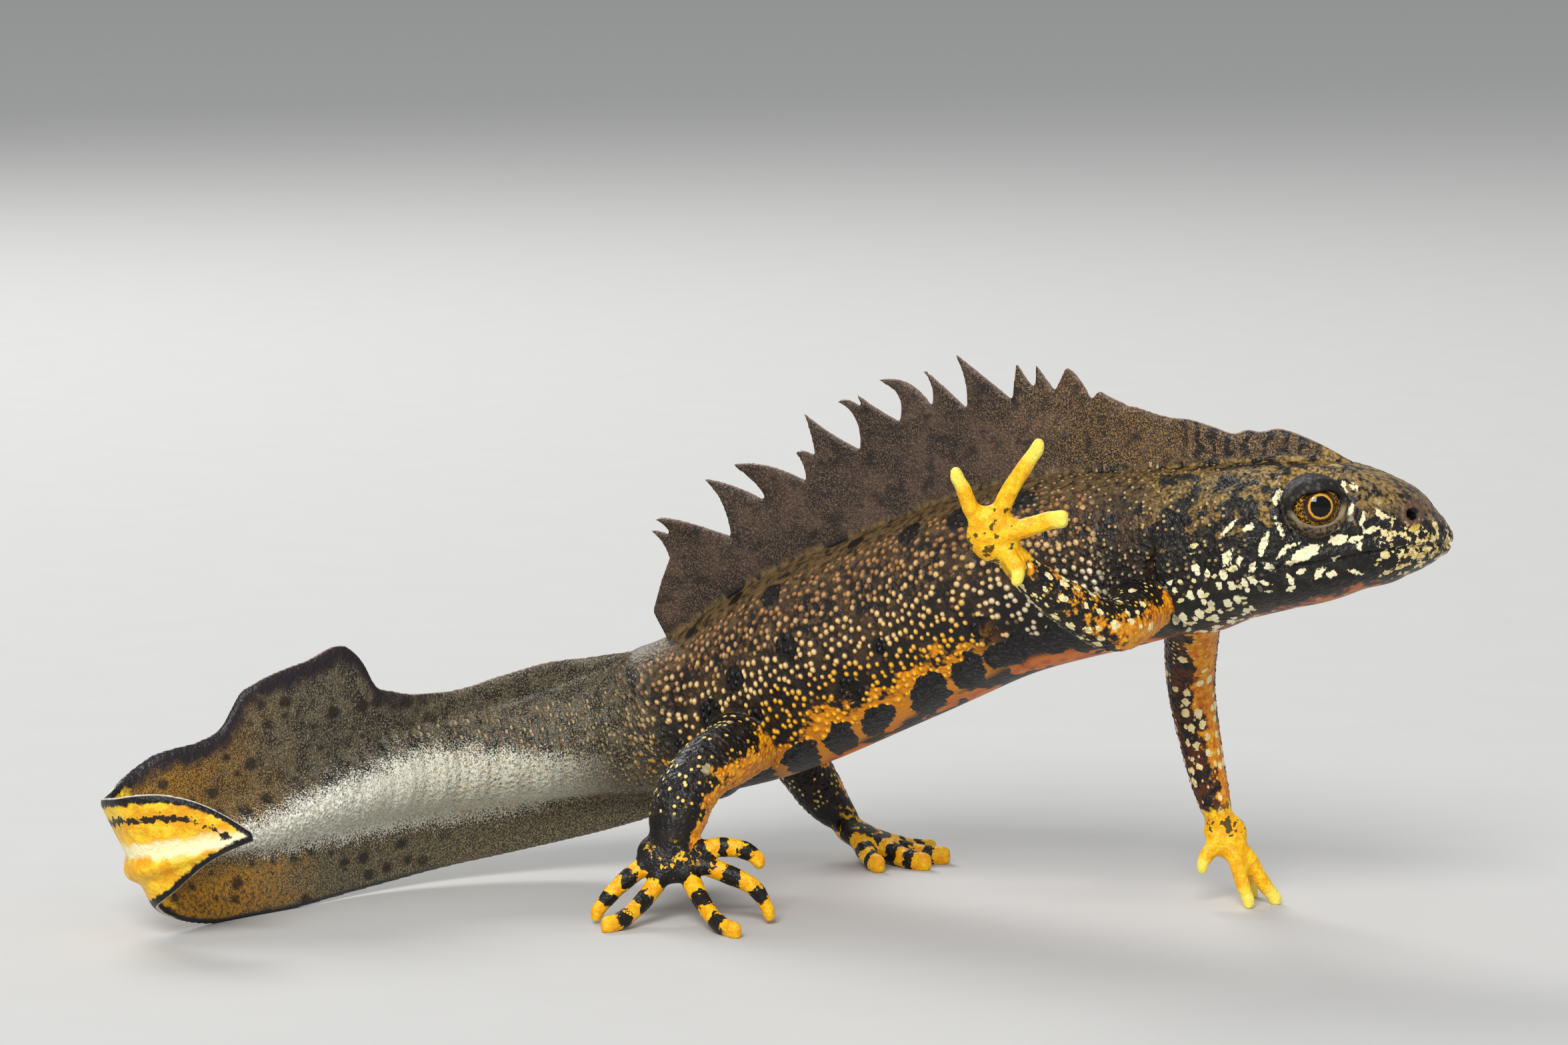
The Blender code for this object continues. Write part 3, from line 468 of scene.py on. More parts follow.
# %% The four limbs
limbs = [
    Limb("foreleg_right",
         [(28.0, -1.0, 26.4), (26.0, -6.5, 24.8), (24.2, -9.9, 24.3), (20.4, -12.4, 26.5),
          (17.2, -13.5, 29.2), (15.6, -14.3, 31.2)],
         [2.3, 2.1, 1.85, 1.6, 1.2, 0.9],
         ((15.2, -14.4, 31.7), (2.3, 1.95, 0.95), (-0.45, -0.15, 0.85), (0, -1, 0)),
         [[(14.6, -14.5, 32.0), (13.5, -14.8, 33.7), (12.9, -15.0, 35.2), (12.1, -15.2, 36.6)],
          [(15.2, -14.5, 32.2), (16.2, -15.0, 34.7), (17.6, -15.3, 37.0), (18.7, -15.9, 38.7)],
          [(15.6, -14.5, 31.7), (17.4, -15.0, 32.2), (19.2, -15.4, 32.8), (20.6, -16.5, 33.1)],
          [(15.8, -14.4, 31.0), (16.5, -15.0, 29.8), (17.0, -15.4, 29.0), (16.4, -15.9, 28.2)]],
         0.68),
    Limb("foreleg_left",
         [(31.0, 2.0, 25.3), (31.1, 6.2, 21.4), (31.3, 8.7, 17.0), (32.1, 9.3, 12.5),
          (33.2, 8.9, 7.9), (33.9, 8.6, 5.6)],
         [2.2, 2.1, 1.85, 1.6, 1.25, 0.9],
         ((34.0, 8.55, 5.5), (1.95, 1.7, 0.9), (0.4, -0.1, -0.9), (0, -1, 0.1)),
         [[(33.6, 8.4, 5.5), (32.9, 8.1, 4.5), (32.3, 7.8, 3.5), (32.0, 7.6, 2.6)],
          [(34.1, 8.3, 5.0), (34.8, 7.9, 3.6), (35.3, 7.5, 1.8), (36.0, 7.1, -0.1)],
          [(34.5, 8.5, 5.0), (35.8, 8.6, 3.6), (36.9, 8.7, 1.8), (38.4, 8.8, -0.1)],
          [(34.4, 8.9, 4.8), (35.2, 9.9, 3.3), (35.8, 10.9, 1.6), (36.7, 11.9, -0.1)]],
         0.68),
    Limb("hind_leg_right",
         [(-2.6, 13.5, 12.6), (-3.3, 10.5, 12.3), (-4.4, 8.0, 11.8), (-6.1, 5.9, 11.0),
          (-7.5, 4.2, 9.3), (-8.2, 3.1, 7.3), (-8.5, 2.2, 5.4)],
         [2.9, 2.7, 2.5, 2.35, 2.3, 2.15, 1.4],
         ((-8.5, 2.1, 5.0), (2.2, 2.75, 1.25), (-0.02, -0.45, -0.9), (0, -0.9, 0.45)),
         [[(-6.8, 2.3, 5.3), (-4.5, 2.5, 5.6), (-2.6, 2.4, 5.2), (-1.4, 2.3, 4.1)],
          [(-6.7, 1.8, 4.6), (-4.4, 1.3, 3.8), (-2.2, 0.9, 2.7), (-0.8, 0.7, 0.25)],
          [(-7.4, 1.5, 4.0), (-6.3, -0.6, 2.2), (-4.9, -3.0, 0.8), (-3.2, -5.2, 0.45)],
          [(-9.2, 1.5, 3.7), (-10.7, -0.1, 1.9), (-12.2, -1.6, 0.8), (-13.9, -2.9, 0.45)],
          [(-10.0, 2.0, 4.7), (-12.1, 1.4, 3.2), (-13.5, 1.0, 1.8), (-14.6, 0.7, 0.3)]],
         0.7),
    Limb("hind_leg_left",
         [(-6.0, 19.0, 13.2), (-4.4, 23.0, 12.6), (-2.0, 26.8, 11.6), (-0.2, 28.5, 10.0),
          (1.6, 28.7, 7.4), (3.6, 28.1, 4.6), (5.6, 27.4, 2.6)],
         [3.0, 2.8, 2.6, 2.35, 2.15, 1.75, 0.9],
         ((6.2, 27.1, 2.1), (2.4, 2.5, 1.05), (0.93, -0.2, -0.35), (0.35, 0, 1)),
         [[(6.2, 26.0, 1.8), (6.6, 24.2, 1.2), (7.2, 22.8, 0.7), (7.9, 21.5, 0.6)],
          [(7.2, 26.2, 1.7), (8.9, 24.9, 1.0), (10.4, 23.8, 0.65), (11.9, 22.9, 0.6)],
          [(7.6, 26.9, 1.6), (9.6, 26.5, 0.95), (11.8, 26.1, 0.65), (13.6, 25.9, 0.6)],
          [(7.4, 27.7, 1.7), (9.3, 28.3, 1.0), (11.0, 29.1, 0.65), (12.5, 29.9, 0.6)],
          [(6.5, 28.4, 1.8), (7.5, 29.8, 1.1), (8.5, 31.1, 0.7), (9.2, 32.2, 0.6)]],
         0.8),
]
for limb in limbs:
    shapes.update(limb.shapes())
    print(limb.name, "is", round(limb.length, 1), "mm to the palm, with", len(limb.toes), "toes")

# %% [markdown]
# ## Eyelids
#
# The eye of a newt bulges from the head, and skin runs over it as a thick upper lid and a
# lower lid with fine grains. Each lid here is a ring of skin on a ball a little larger
# than the eye. How wide the ring is open changes round the eye: narrow above and below,
# wide in front and behind.

# %% The lids
EYE_GAP, ROOT_DEEP = 0.06, 0.8      # mm from eye to lid, and from the eye's surface to the lid's root
eye_centres = {side: place(EYE_ALONG, side * eye_out, EYE_HIGH) for side in (1, -1)}


def eye_axes(side):
    """Directions of an eye: outward through the pupil, up, and forward to the snout."""
    tailward, upward, rightward = directions(np.float64(EYE_ALONG))
    outward = unit(rightward * side * 0.955 - tailward * 0.25 + upward * 0.06)      # a little forward
    forward = unit(-tailward - outward * (-tailward @ outward))
    return outward, np.cross(forward, outward) * side, forward


def lid_rows(side):
    """The ring of skin round one eye; round runs from the front corner over the top."""
    outward, upward, forward = eye_axes(side)
    rows = []
    for round_eye in np.linspace(0, 2 * np.pi, 72, endpoint=False):
        above = max(math.sin(round_eye), 0.0)
        below = max(-math.sin(round_eye), 0.0)
        open_angle = 68 - 24 * above ** 1.4 - 36 * below ** 1.3      # degrees from the pupil's axis
        thick = 0.30 + 0.26 * above + 0.12 * below                   # mm
        aim = forward * math.cos(round_eye) + upward * math.sin(round_eye)
        ring = []
        # angle from the pupil's axis, and how far out in the lid: 0 inside, 1 outside
        for angle, outside in ((open_angle, 0.0), (open_angle - 3, 0.45), (open_angle, 0.86),
                               (open_angle + 9, 1.0), (open_angle + 22, 1.0), (100, 0.7), (120, 0.2),
                               (120, -0.6), (100, -0.6), (open_angle + 22, -0.2)):
            radius = EYE_RADIUS + EYE_GAP + max(outside, 0) * thick + min(outside, 0) * ROOT_DEEP
            bow = math.radians(angle)
            ring.append(eye_centres[side] + radius * (outward * math.cos(bow) + aim * math.sin(bow)))
        rows.append(ring)
    return np.array(rows)


def closed_loop(rows):
    """Corners and faces of a ring-shaped skin: the last row meets the first."""
    count, sides = rows.shape[:2]
    index = np.arange(count * sides).reshape(count, sides)
    after, on = np.roll(index, -1, axis=1), np.roll(index, -1, axis=0)
    quads = np.stack([index, after, np.roll(after, -1, axis=0), on], -1).reshape(-1, 4)
    return rows.reshape(-1, 3), quads.tolist()


for side, name in ((1, "right"), (-1, "left")):
    shapes["lids_" + name] = closed_loop(lid_rows(side))
print("eyes at", eye_centres[1].round(2), eye_centres[-1].round(2), "mm")

# %% [markdown]
# ## Sockets, then one skin
#
# A ball cut out of the head on each side makes room for the eye; this is the one Boolean
# here, because a remesh can only add. Then all shapes go into one object and the voxel
# remesh walks round them.

# %% Meshes in and out of arrays
VOXEL = 0.15


def in_scene(name, data):
    """A new object for a mesh, a lamp or a camera, put into the scene."""
    thing = bpy.data.objects.new(name, data)
    bpy.context.scene.collection.objects.link(thing)
    return thing


def make_object(name, points, faces):
    """A mesh object with outward faces; 1 Blender unit is 1 mm until the skin is done."""
    mesh = bpy.data.meshes.new(name)
    mesh.from_pydata(np.asarray(points).tolist(), [], faces)
    solid = bmesh.new()
    solid.from_mesh(mesh)
    bmesh.ops.recalc_face_normals(solid, faces=solid.faces)
    solid.to_mesh(mesh)
    solid.free()
    return in_scene(name, mesh)


def baked_mesh(thing):
    """The mesh as its modifiers leave it; the object itself goes."""
    seen = thing.evaluated_get(bpy.context.evaluated_depsgraph_get())
    mesh = bpy.data.meshes.new_from_object(seen)
    bpy.data.objects.remove(thing)
    return mesh


def corners_of(mesh):
    """A mesh's points as an array."""
    points = np.empty(len(mesh.vertices) * 3)
    mesh.vertices.foreach_get("co", points)
    return points.reshape(-1, 3)


def move_corners(mesh, points):
    """Move a mesh's points to where an array says."""
    mesh.vertices.foreach_set("co", points.ravel())
    mesh.update()


def normals_of(mesh, points):
    """Move a mesh's points, and give the outward direction at each."""
    move_corners(mesh, points)
    found = np.empty(len(points) * 3)
    mesh.vertices.foreach_get("normal", found)
    return found.reshape(-1, 3)


print("voxels of", VOXEL, "mm")

# %% Eye sockets
SOCKET_ROOM = 0.05      # mm between an eyeball and its socket


def ball_mesh(name, radius, segments, rings, centre=(0.0, 0.0, 0.0)):
    """The mesh of a ball."""
    mesh = bpy.data.meshes.new(name)
    ball = bmesh.new()
    bmesh.ops.create_uvsphere(ball, u_segments=segments, v_segments=rings, radius=radius)
    bmesh.ops.translate(ball, vec=Vector(centre), verts=ball.verts)
    ball.to_mesh(mesh)
    ball.free()
    return mesh


flesh = make_object("flesh", *shapes["body"])
sockets = [in_scene("socket", ball_mesh("socket", EYE_RADIUS + SOCKET_ROOM, 40, 20, eye_centres[side]))
           for side in (1, -1)]
for socket in sockets:
    cut = flesh.modifiers.new("socket", "BOOLEAN")
    cut.operation, cut.object = "DIFFERENCE", socket
socketed = baked_mesh(flesh)
for socket in sockets:
    bpy.data.objects.remove(socket)
shapes["body_with_sockets"] = (corners_of(socketed), [list(f.vertices) for f in socketed.polygons])
print("head with two sockets:", len(socketed.polygons), "faces")

# %% One skin
points, faces, start = [], [], 0
for name, (corners, sides) in shapes.items():
    if name == "body":
        continue
    piece = make_object(name, corners, sides)
    points.append(corners)
    faces += [[v + start for v in face.vertices] for face in piece.data.polygons]
    start += len(corners)
    bpy.data.objects.remove(piece)
crowd = make_object("crowd", np.concatenate(points), faces)
weld = crowd.modifiers.new("weld", "REMESH")
weld.mode, weld.voxel_size, weld.adaptivity = "VOXEL", VOXEL, 0.0
skin_mesh = baked_mesh(crowd)
points = corners_of(skin_mesh)
print("one skin:", len(points), "points,", len(skin_mesh.polygons), "faces")

# %% [markdown]
# ## Softer where forms meet
#
# The remesh leaves a fine grid pattern and sharp creases where a leg meets the flank. Two
# kinds of smoothing mend that. The first goes over the whole skin in pairs of steps, one
# that shrinks and one that swells back, so that thin fins keep their thickness. The
# second only works near the joins between body, limbs and toes, and rounds them.

# %% Smoothing
edges = np.empty(len(skin_mesh.edges) * 2, int)
skin_mesh.edges.foreach_get("vertices", edges)
edges = edges.reshape(-1, 2)
valence = np.bincount(edges.ravel(), minlength=len(points)).astype(float)[:, None]


def neighbours_mean(values):
    """For each point, the mean of its neighbours' values."""
    first, second = edges.T
    sums = [np.bincount(first, values[second, k], len(values))
            + np.bincount(second, values[first, k], len(values)) for k in range(values.shape[1])]
    return np.stack(sums, -1) / valence


def relax(points, weight, rounds):
    """Move each point toward its neighbours, as far as its weight says."""
    for _ in range(rounds):
        points = points + (neighbours_mean(points) - points) * weight
    return points


SHRINK, SWELL = 0.55, -0.57      # swelling a little more keeps thin fins from melting
for _ in range(8):
    points = relax(relax(points, SHRINK, 1), SWELL, 1)
print("smoothed box in mm:", points.min(0).round(2), points.max(0).round(2))


# %% Distances to shapes
def tree_of(names):
    """A search tree over some of the shapes' surfaces."""
    corners, sides, start = [], [], 0
    for name in names:
        corners.append(shapes[name][0])
        sides += [[v + start for v in face] for face in shapes[name][1]]
        start += len(shapes[name][0])
    return BVHTree.FromPolygons(np.concatenate(corners).tolist(), sides)


def distances(tree, places, reach):
    """How far each place is from a surface, at most reach."""
    found = [tree.find_nearest(p, reach)[3] for p in places.tolist()]
    return np.array([reach if d is None else d for d in found])


palm_gap = distances(tree_of(["body"]), limbs[0].palm[0][None], 50.0)[0]
print("the lifted palm is", palm_gap.round(1), "mm from the body")

# %% [markdown]
# ## Which points belong to a limb
#
# After the remesh the skin no longer knows where its legs are, but the finish needs it:
# legs have their own colours and beads. The nearest point of each limb's middle line is
# found again for every point near it. That gives how far down the limb it is, and which
# way round. The way round is read from a direction that is carried along the line without
# twisting, as a bead pattern would otherwise swirl where the limb bends.


# %% Lines that keep their facing
PALM_LONG = 2.0      # mm from the wrist to where the toes start


def carried(line, facing):
    """A line's direction, and a sideways one carried from its end to its start untwisted."""
    ahead = unit(np.gradient(line, axis=0))
    sides = [unit(facing - ahead[-1] * (ahead[-1] @ facing))]
    for step in ahead[-2::-1]:
        sides.append(unit(sides[-1] - step * (sides[-1] @ step)))
    return ahead, np.array(sides[::-1])


def lines_of(limb):
    """All middle lines of a limb: middles, girths, mm along, toe shares, two directions."""
    lines = [(limb.line, limb.girth, limb.stops, np.zeros(len(limb.stops)))]
    lines += [(line, girth, limb.length + PALM_LONG + lengths_along(line), out)
              for line, girth, out in limb.toes]
    facing = np.array([0.0, -1.0, 0.0] if limb.name.endswith("right") else [1.0, 0.0, 0.0])
    return [np.concatenate(part) for part in zip(*[(*row, *carried(row[0], facing)) for row in lines])]


def nearest_middle(places, middles, girths):
    """Which middle is nearest to each place, and how far its skin is from the place."""
    best, which = np.full(len(places), np.inf), np.zeros(len(places), int)
    for k, (middle, girth) in enumerate(zip(middles, girths)):
        gap = np.linalg.norm(places - middle, axis=1) - girth
        closer = gap < best
        best[closer], which[closer] = gap[closer], k
    return which, best


print("middle lines:", [len(lines_of(limb)[0]) for limb in limbs], "places")

# %% Points of the limbs
LIMB_REACH, LIMB_MARGIN = 2.6, 4.5       # mm from a limb's skin, and round its box
body_tree = tree_of(["body", "crest"])
on_limb = np.zeros(len(points))          # 0 on the body, 1 well out on a limb
limb_place = np.zeros((len(points), 3))  # mm from the shoulder, share of a toe, which limb
limb_aim = np.zeros((len(points), 3))    # direction from the limb's middle line to its skin
limb_turn = np.zeros(len(points))        # way round the limb, -pi to pi
join = np.zeros(len(points))             # 1 where two shapes meet
for number, limb in enumerate(limbs, 1):
    middles, girths, alongs, outs, aims, sides = lines_of(limb)
    in_box = (points > middles.min(0) - LIMB_MARGIN) & (points < middles.max(0) + LIMB_MARGIN)
    here = np.nonzero(in_box.all(1))[0]
    which, gap = nearest_middle(points[here], middles, girths)
    here, which = here[gap < LIMB_REACH], which[gap < LIMB_REACH]
    from_body = distances(body_tree, points[here], 6.0)
    limb_tree = tree_of([name for name in shapes if name.startswith(limb.name)])
    from_limb = distances(limb_tree, points[here], 3.0)
    on_limb[here] = np.maximum(on_limb[here], ease(from_body - from_limb, -0.35, 0.35))
    offset = points[here] - middles[which]
    slide = np.clip((offset * aims[which]).sum(-1), -0.4, 0.4)
    toe_share = outs[which] + slide / 6 * (outs[which] > 0)
    limb_place[here] = np.stack([alongs[which] + slide, toe_share, np.full(len(here), number)], -1)
    limb_aim[here] = unit(offset - slide[:, None] * aims[which])
    limb_turn[here] = np.arctan2((offset * np.cross(aims, sides)[which]).sum(-1),
                                 (offset * sides[which]).sum(-1))
    join[here] = np.maximum(join[here], ease(np.maximum(from_body, from_limb), 1.3, 0.3))
    free = here[from_body > 1.0]         # out on the limb, where only its own shapes meet
    names = [limb.name, limb.name + "_palm", *[f"{limb.name}_toe_{k}" for k in range(len(limb.toes))]]
    gaps = np.sort([distances(tree_of([name]), points[free], 2.0) for name in names], axis=0)
    join[free] = np.maximum(join[free], 0.8 * ease(gaps[1], 0.7, 0.1))
points = relax(points, 0.5 * join[:, None], int(5.5 / VOXEL))      # as far for either voxel
print("points on limbs:", int((on_limb > 0.5).sum()), "| at joins:", int((join > 0.5).sum()))

# %% [markdown]
# ## A map of the newt
#
# Every later step asks where on the animal a point is: a groove runs along the mouth, the
# belly is orange, the tail carries a silver band. So each point of the skin now gets its
# three numbers along, right and high. The nearest point of the loft gives a first guess.
# A few steps along the middle line then bring the guess onto the plane through the point.

# %% Along, right and high for each point
marks = np.concatenate([body_marks.reshape(-1, 3), crest_marks.reshape(-1, 3),
                        *[rows.reshape(-1, 3) for rows in tooth_marks]])
finder = KDTree(len(marks))
for index, corner in enumerate(place(*marks.T)):
    finder.insert(corner, index)
finder.balance()
along = np.clip(marks[[finder.find(p)[1] for p in points.tolist()], 0], 0.0, BODY_LENGTH)
for _ in range(6):
    tailward, upward, rightward = directions(along)
    offset = points - place(along, 0.0, 0.0)
    step = np.clip((offset * tailward).sum(-1), -0.5, 0.5)
    along = np.clip(along + 0.7 * step, 0.0, BODY_LENGTH)
right, high = (offset * rightward).sum(-1), (offset * upward).sum(-1)
on_body = 1 - on_limb
back = top(along)
on_crest = ease(high - back, 0.1, 0.7) * ease(along, 8.0, 9.5) * ease(along, 64.5, 63.5) * on_body
print("along", along.min().round(1), "to", along.max().round(1), "mm; high",
      high[on_body > 0.5].min().round(1), "to", high[on_body > 0.5].max().round(1), "mm")

# %% [markdown]
# ## Folds of the skin
#
# What makes the head alive is its relief: the closed mouth with a lip that hangs a little
# over the lower jaw, the nostril, the loose cheek, and the fold across the throat that
# every newt has. Behind it come the grooves between the ribs, the swollen vent of a male
# in spring, and wrinkles at knee, elbow and tail. Each is a small push in or out along
# the skin's own direction, in mm, so that nothing has to be cut or joined.

# %% Mouth and nostrils
NOSTRIL = (3.1, 1.5)      # mm along and high


def near(value, centre, reach):
    """1 at the centre and falling softly to 0 over the reach."""
    return np.exp(-((value - centre) / reach) ** 2)


relief = np.zeros(len(points))
in_mouth = ease(along, 13.4, 12.0) * on_body
above_mouth = high - mouth(along)
relief -= 0.38 * near(above_mouth, -0.03, 0.13) * in_mouth
relief += 0.20 * near(above_mouth, 0.42, 0.38) * in_mouth * ease(along, 0.6, 4.0)
relief -= (0.22 * ease(above_mouth, 0.0, -0.2) * ease(above_mouth, -1.8, -0.5) * in_mouth
           * ease(along, 3.0, 7.0) * ease(along, 13.8, 11.0))
relief -= 0.14 * near(np.hypot(along - 13.1, (high + 2.3) * 0.7), 0, 0.8) * on_body
for side in (1, -1):
    nose_hole = place(NOSTRIL[0], side * float(half_width(*NOSTRIL)), NOSTRIL[1])
    reach = np.linalg.norm(points - nose_hole, axis=1)
    relief -= 0.80 * ease(reach, 0.50, 0.18)
    relief += 0.12 * near(reach, 0.66, 0.18)
snout_ridge = near(high - (0.9 + 0.17 * along), 1.1, 0.55)
relief += 0.16 * snout_ridge * ease(along, 1.5, 3.5) * ease(along, 8.4, 6.4)
print("mouth and nose reach from", relief.min().round(2), "to", relief.max().round(2), "mm")

# %% Grooves round the lids
eye_place = np.zeros((len(points), 3))
for side in (1, -1):
    outward, upward_eye, forward_eye = eye_axes(side)
    offset = points - eye_centres[side]
    here = (right * side > 0) & (np.linalg.norm(offset, axis=1) < 5.0)
    across = np.stack([offset @ forward_eye, offset @ upward_eye], -1)
    reach = np.linalg.norm(across * (1.0, 1.08), axis=1)
    eye_place[here] = np.stack([across[:, 0], across[:, 1], reach], -1)[here]
    lid_edge = 2.52 + 0.12 * np.clip(-across[:, 1], 0, 2)
    relief -= 0.24 * near(reach, lid_edge, 0.17) * here * ease(across[:, 1], 2.6, 1.6)
    relief += 0.14 * near(reach, lid_edge - 0.42, 0.26) * here
    relief -= 0.10 * near(reach, lid_edge + 0.75, 0.2) * here * ease(across[:, 1], 0.2, -1.0)
eye_place[:, 2] = np.where(eye_place[:, 2] == 0, 9.0, eye_place[:, 2])      # far from an eye
print("round the eyes:", int((eye_place[:, 2] < 2.6).sum()), "points of the lids")

# %% Cheek and throat fold
relief += 0.30 * near(np.hypot(along - 14.8, (high + 0.6) * 0.9), 0, 2.4) * on_body
relief += 0.25 * near(np.hypot(along - 12.8, (high - 2.9)), 0, 1.3) * on_body

fold_at = 20.6 - 0.10 * np.maximum(high + 1.0, 0) - 0.055 * np.maximum(-high - 1.0, 0) ** 2
fold_share = ease(high, 2.6, -0.8) * on_body
relief -= 0.55 * near(along, fold_at, 0.32) * fold_share
relief += (0.42 * ease(along, fold_at - 0.1, fold_at - 0.5) * fold_share
           * ease(along, fold_at - 4.0, fold_at - 0.9))
relief += 0.10 * near(along, fold_at + 0.9, 0.6) * fold_share
print("lids, cheek and fold reach from", relief.min().round(2), "to", relief.max().round(2), "mm")

# %% Ribs, vent and tail
RIBS_APART = 3.05                    # mm
WRINKLES, MUSCLES = 0.95, 3.1        # mm from one wrinkle or muscle segment of the tail to the next
for rib in np.arange(27.0, 64.0, RIBS_APART):
    relief -= (0.07 * near(along, rib + 0.12 * high, 0.4) * ease(high, 5.5, 3.0)
               * ease(high, -6.8, -5.0) * on_body * ease(along, 22.0, 27.0))
vent = np.hypot((along - 67.5) / 3.4, (high - low(along)) / 2.3)
relief += 0.75 * ease(vent, 1.0, 0.25) * on_body
relief -= 0.35 * near(right, 0, 0.14) * ease(vent, 0.75, 0.4) * on_body
tail_side = ease(along, 66, 72) * ease(along, 99, 88) * on_body
from_middle = np.abs(high - 1.0)
for apart, deep, slant, calm in ((WRINKLES, 0.05, 0.45, 3.0), (MUSCLES, 0.10, 0.3, 2.0)):
    relief += (deep * np.sin(along * 2 * np.pi / apart + slant * high) * tail_side
               * ease(from_middle, 5.0, calm))
print("vent swollen at", int((vent < 1).sum()), "points")

# %% Wrinkles of the joints
# mm down each limb to its elbow or knee, and to its wrist or ankle
BENDS, WRISTS = (10.6, 11.0, 8.6, 11.3), (18.6, 20.0, 13.7, 18.4)
limb_along, toe_out, limb_number = limb_place.T
for number, (bend, wrist) in enumerate(zip(BENDS, WRISTS), 1):
    here = (limb_number == number) * on_limb
    for middle, apart, deep, spread in ((bend, 1.1, 0.09, 1.6), (wrist, 0.8, 0.07, 1.2)):
        relief -= (deep * near(np.abs(np.sin((limb_along - middle) * np.pi / apart)), 0, 0.25)
                   * near(limb_along, middle, spread) * here)
outward = normals_of(skin_mesh, points)
toe_slim = 0.13 * ease(toe_out, 0.15, 0.45) + 0.1 * ease(toe_out, 0.6, 1.0)
relief -= toe_slim * on_limb * (1 - outward[:, 2] ** 2)
points = points + outward * relief[:, None]
for _ in range(2):
    points = relax(relax(points, 0.4, 1), -0.42, 1)
print("folds reach from", relief.min().round(2), "to", relief.max().round(2), "mm")

# %% [markdown]
# ## Notes for the painter
#
# The skin's finish needs to know where it is too. These notes are kept on the skin as
# attributes: the place before the warts are raised, the place on the body, the place on a
# limb, and a few signed distances in mm that are positive inside a marking. The material
# roughens each distance with noise before it draws the edge, so no edge is a clean line.

# %% Where the markings are
def inside_band(upper, lower, start, end):
    """Signed distance into a band between two curves of height, from start to end."""
    return np.minimum.reduce([upper(along) - high, high - lower(along),
                              (along - start) * 0.6, (end - along) * 0.6])


silver_top = smooth({66: 0.0, 73: 0.9, 81: 2.3, 88: 3.0, 95: 2.0, 103: 0.9, 110: 0.3, 127: 0.0})
silver_foot = smooth({66: -2.8, 74: -3.6, 81: -4.0, 88: -3.8, 95: -3.4, 103: -2.1, 108: -1.0,
                      127: -0.6})
silver = inside_band(silver_top, silver_foot, 64.0, 127.0)
belly_line = smooth({14: -5.4, 20: -4.8, 26: -3.4, 32: -3.5, 40: -4.2, 48: -4.6,
                     56: -5.2, 64: -5.8, 70: -7.5})
under_belly = belly_line(along) - high
print("silver band covers", int((silver > 0).sum()), "points, the belly", int((under_belly > 0).sum()))

# %% Black tongues of the belly
rng = np.random.default_rng(7)
tongues = np.full(len(points), -3.0)
for side in (1, -1):
    spot = 24.5              # mm from the snout to the next tongue
    while spot < 65.0:
        long, tall = rng.uniform(1.6, 2.3), rng.uniform(1.2, 1.75)
        centre = float(belly_line(spot)) - rng.uniform(0.5, 1.1)
        slant = along - spot + 0.7 * (high - centre)
        reach = np.hypot(slant / long, (high - centre) / tall)
        tongues = np.where(right * side > 0, np.maximum(tongues, (1 - reach) * tall), tongues)
        spot += long + rng.uniform(2.2, 3.0)
print("black tongues cover", int((tongues > 0).sum()), "points")

# %% [markdown]
# ## Cream marks of the face
#
# The marks on the lips and cheek are what one newt is known by, like a fingerprint. They
# are listed one by one, a short stroke each, from the pupil: that is how a painter of
# museum models would measure them. The other side of the head gets the same marks, each
# a little moved and turned, because the two sides of a real newt never match.

# %% Face marks
# mm ahead of the pupil, mm above it, length, width, tilt in degrees
FACE_MARKS = (
    (2.0, 1.0, 1.0, 0.28, 100), (2.6, 0.95, 0.6, 0.35, -45), (2.3, -0.6, 0.95, 0.42, 60),
    (1.3, -1.75, 0.5, 0.3, 30), (4.5, -1.0, 1.05, 0.5, -25), (3.2, -1.3, 1.0, 0.4, 75),
    (1.3, -2.6, 1.4, 0.75, 5), (2.5, -2.7, 1.3, 0.5, 5), (3.7, -2.15, 1.3, 0.4, 20),
    (4.8, -2.35, 0.9, 0.38, -15), (5.2, -2.7, 0.6, 0.4, 80), (2.9, -3.2, 0.6, 0.4, 80),
    (-0.9, -3.2, 1.9, 0.85, 22), (-1.8, -3.75, 1.1, 0.45, 25), (-2.2, -2.8, 1.3, 0.3, 50),
    (-1.6, -2.5, 0.7, 0.25, 15), (-3.35, -2.1, 1.5, 0.48, 65), (-5.7, -2.5, 1.25, 0.5, 60),
    (-5.0, -2.9, 0.6, 0.3, 80), (-4.3, -3.6, 0.7, 0.45, 70), (-3.3, -3.8, 0.8, 0.5, -60),
    (-4.5, -4.6, 0.75, 0.4, -60), (-3.8, -5.0, 0.8, 0.35, -25), (-1.4, -4.7, 0.55, 0.4, 0),
    (-0.3, -5.0, 1.15, 0.45, 50), (0.5, -5.2, 0.6, 0.45, 0), (-2.1, -5.2, 0.9, 0.4, -70),
    (-2.2, -5.8, 0.8, 0.35, 30), (5.0, -4.0, 0.7, 0.6, 0), (0.9, -4.0, 0.6, 0.4, 20),
    (-2.1, 1.1, 1.1, 0.28, 70), (-2.2, -1.2, 1.4, 0.25, -80), (-4.0, -0.7, 0.75, 0.42, 30),
    (-5.3, -0.5, 1.0, 0.3, 40), (2.5, -5.3, 1.3, 0.35, -12), (6.9, -1.75, 0.7, 0.5, 40),
)
cream = np.full(len(points), -3.0)
head_share = np.nonzero((along < 19) & (on_body > 0.5))[0]
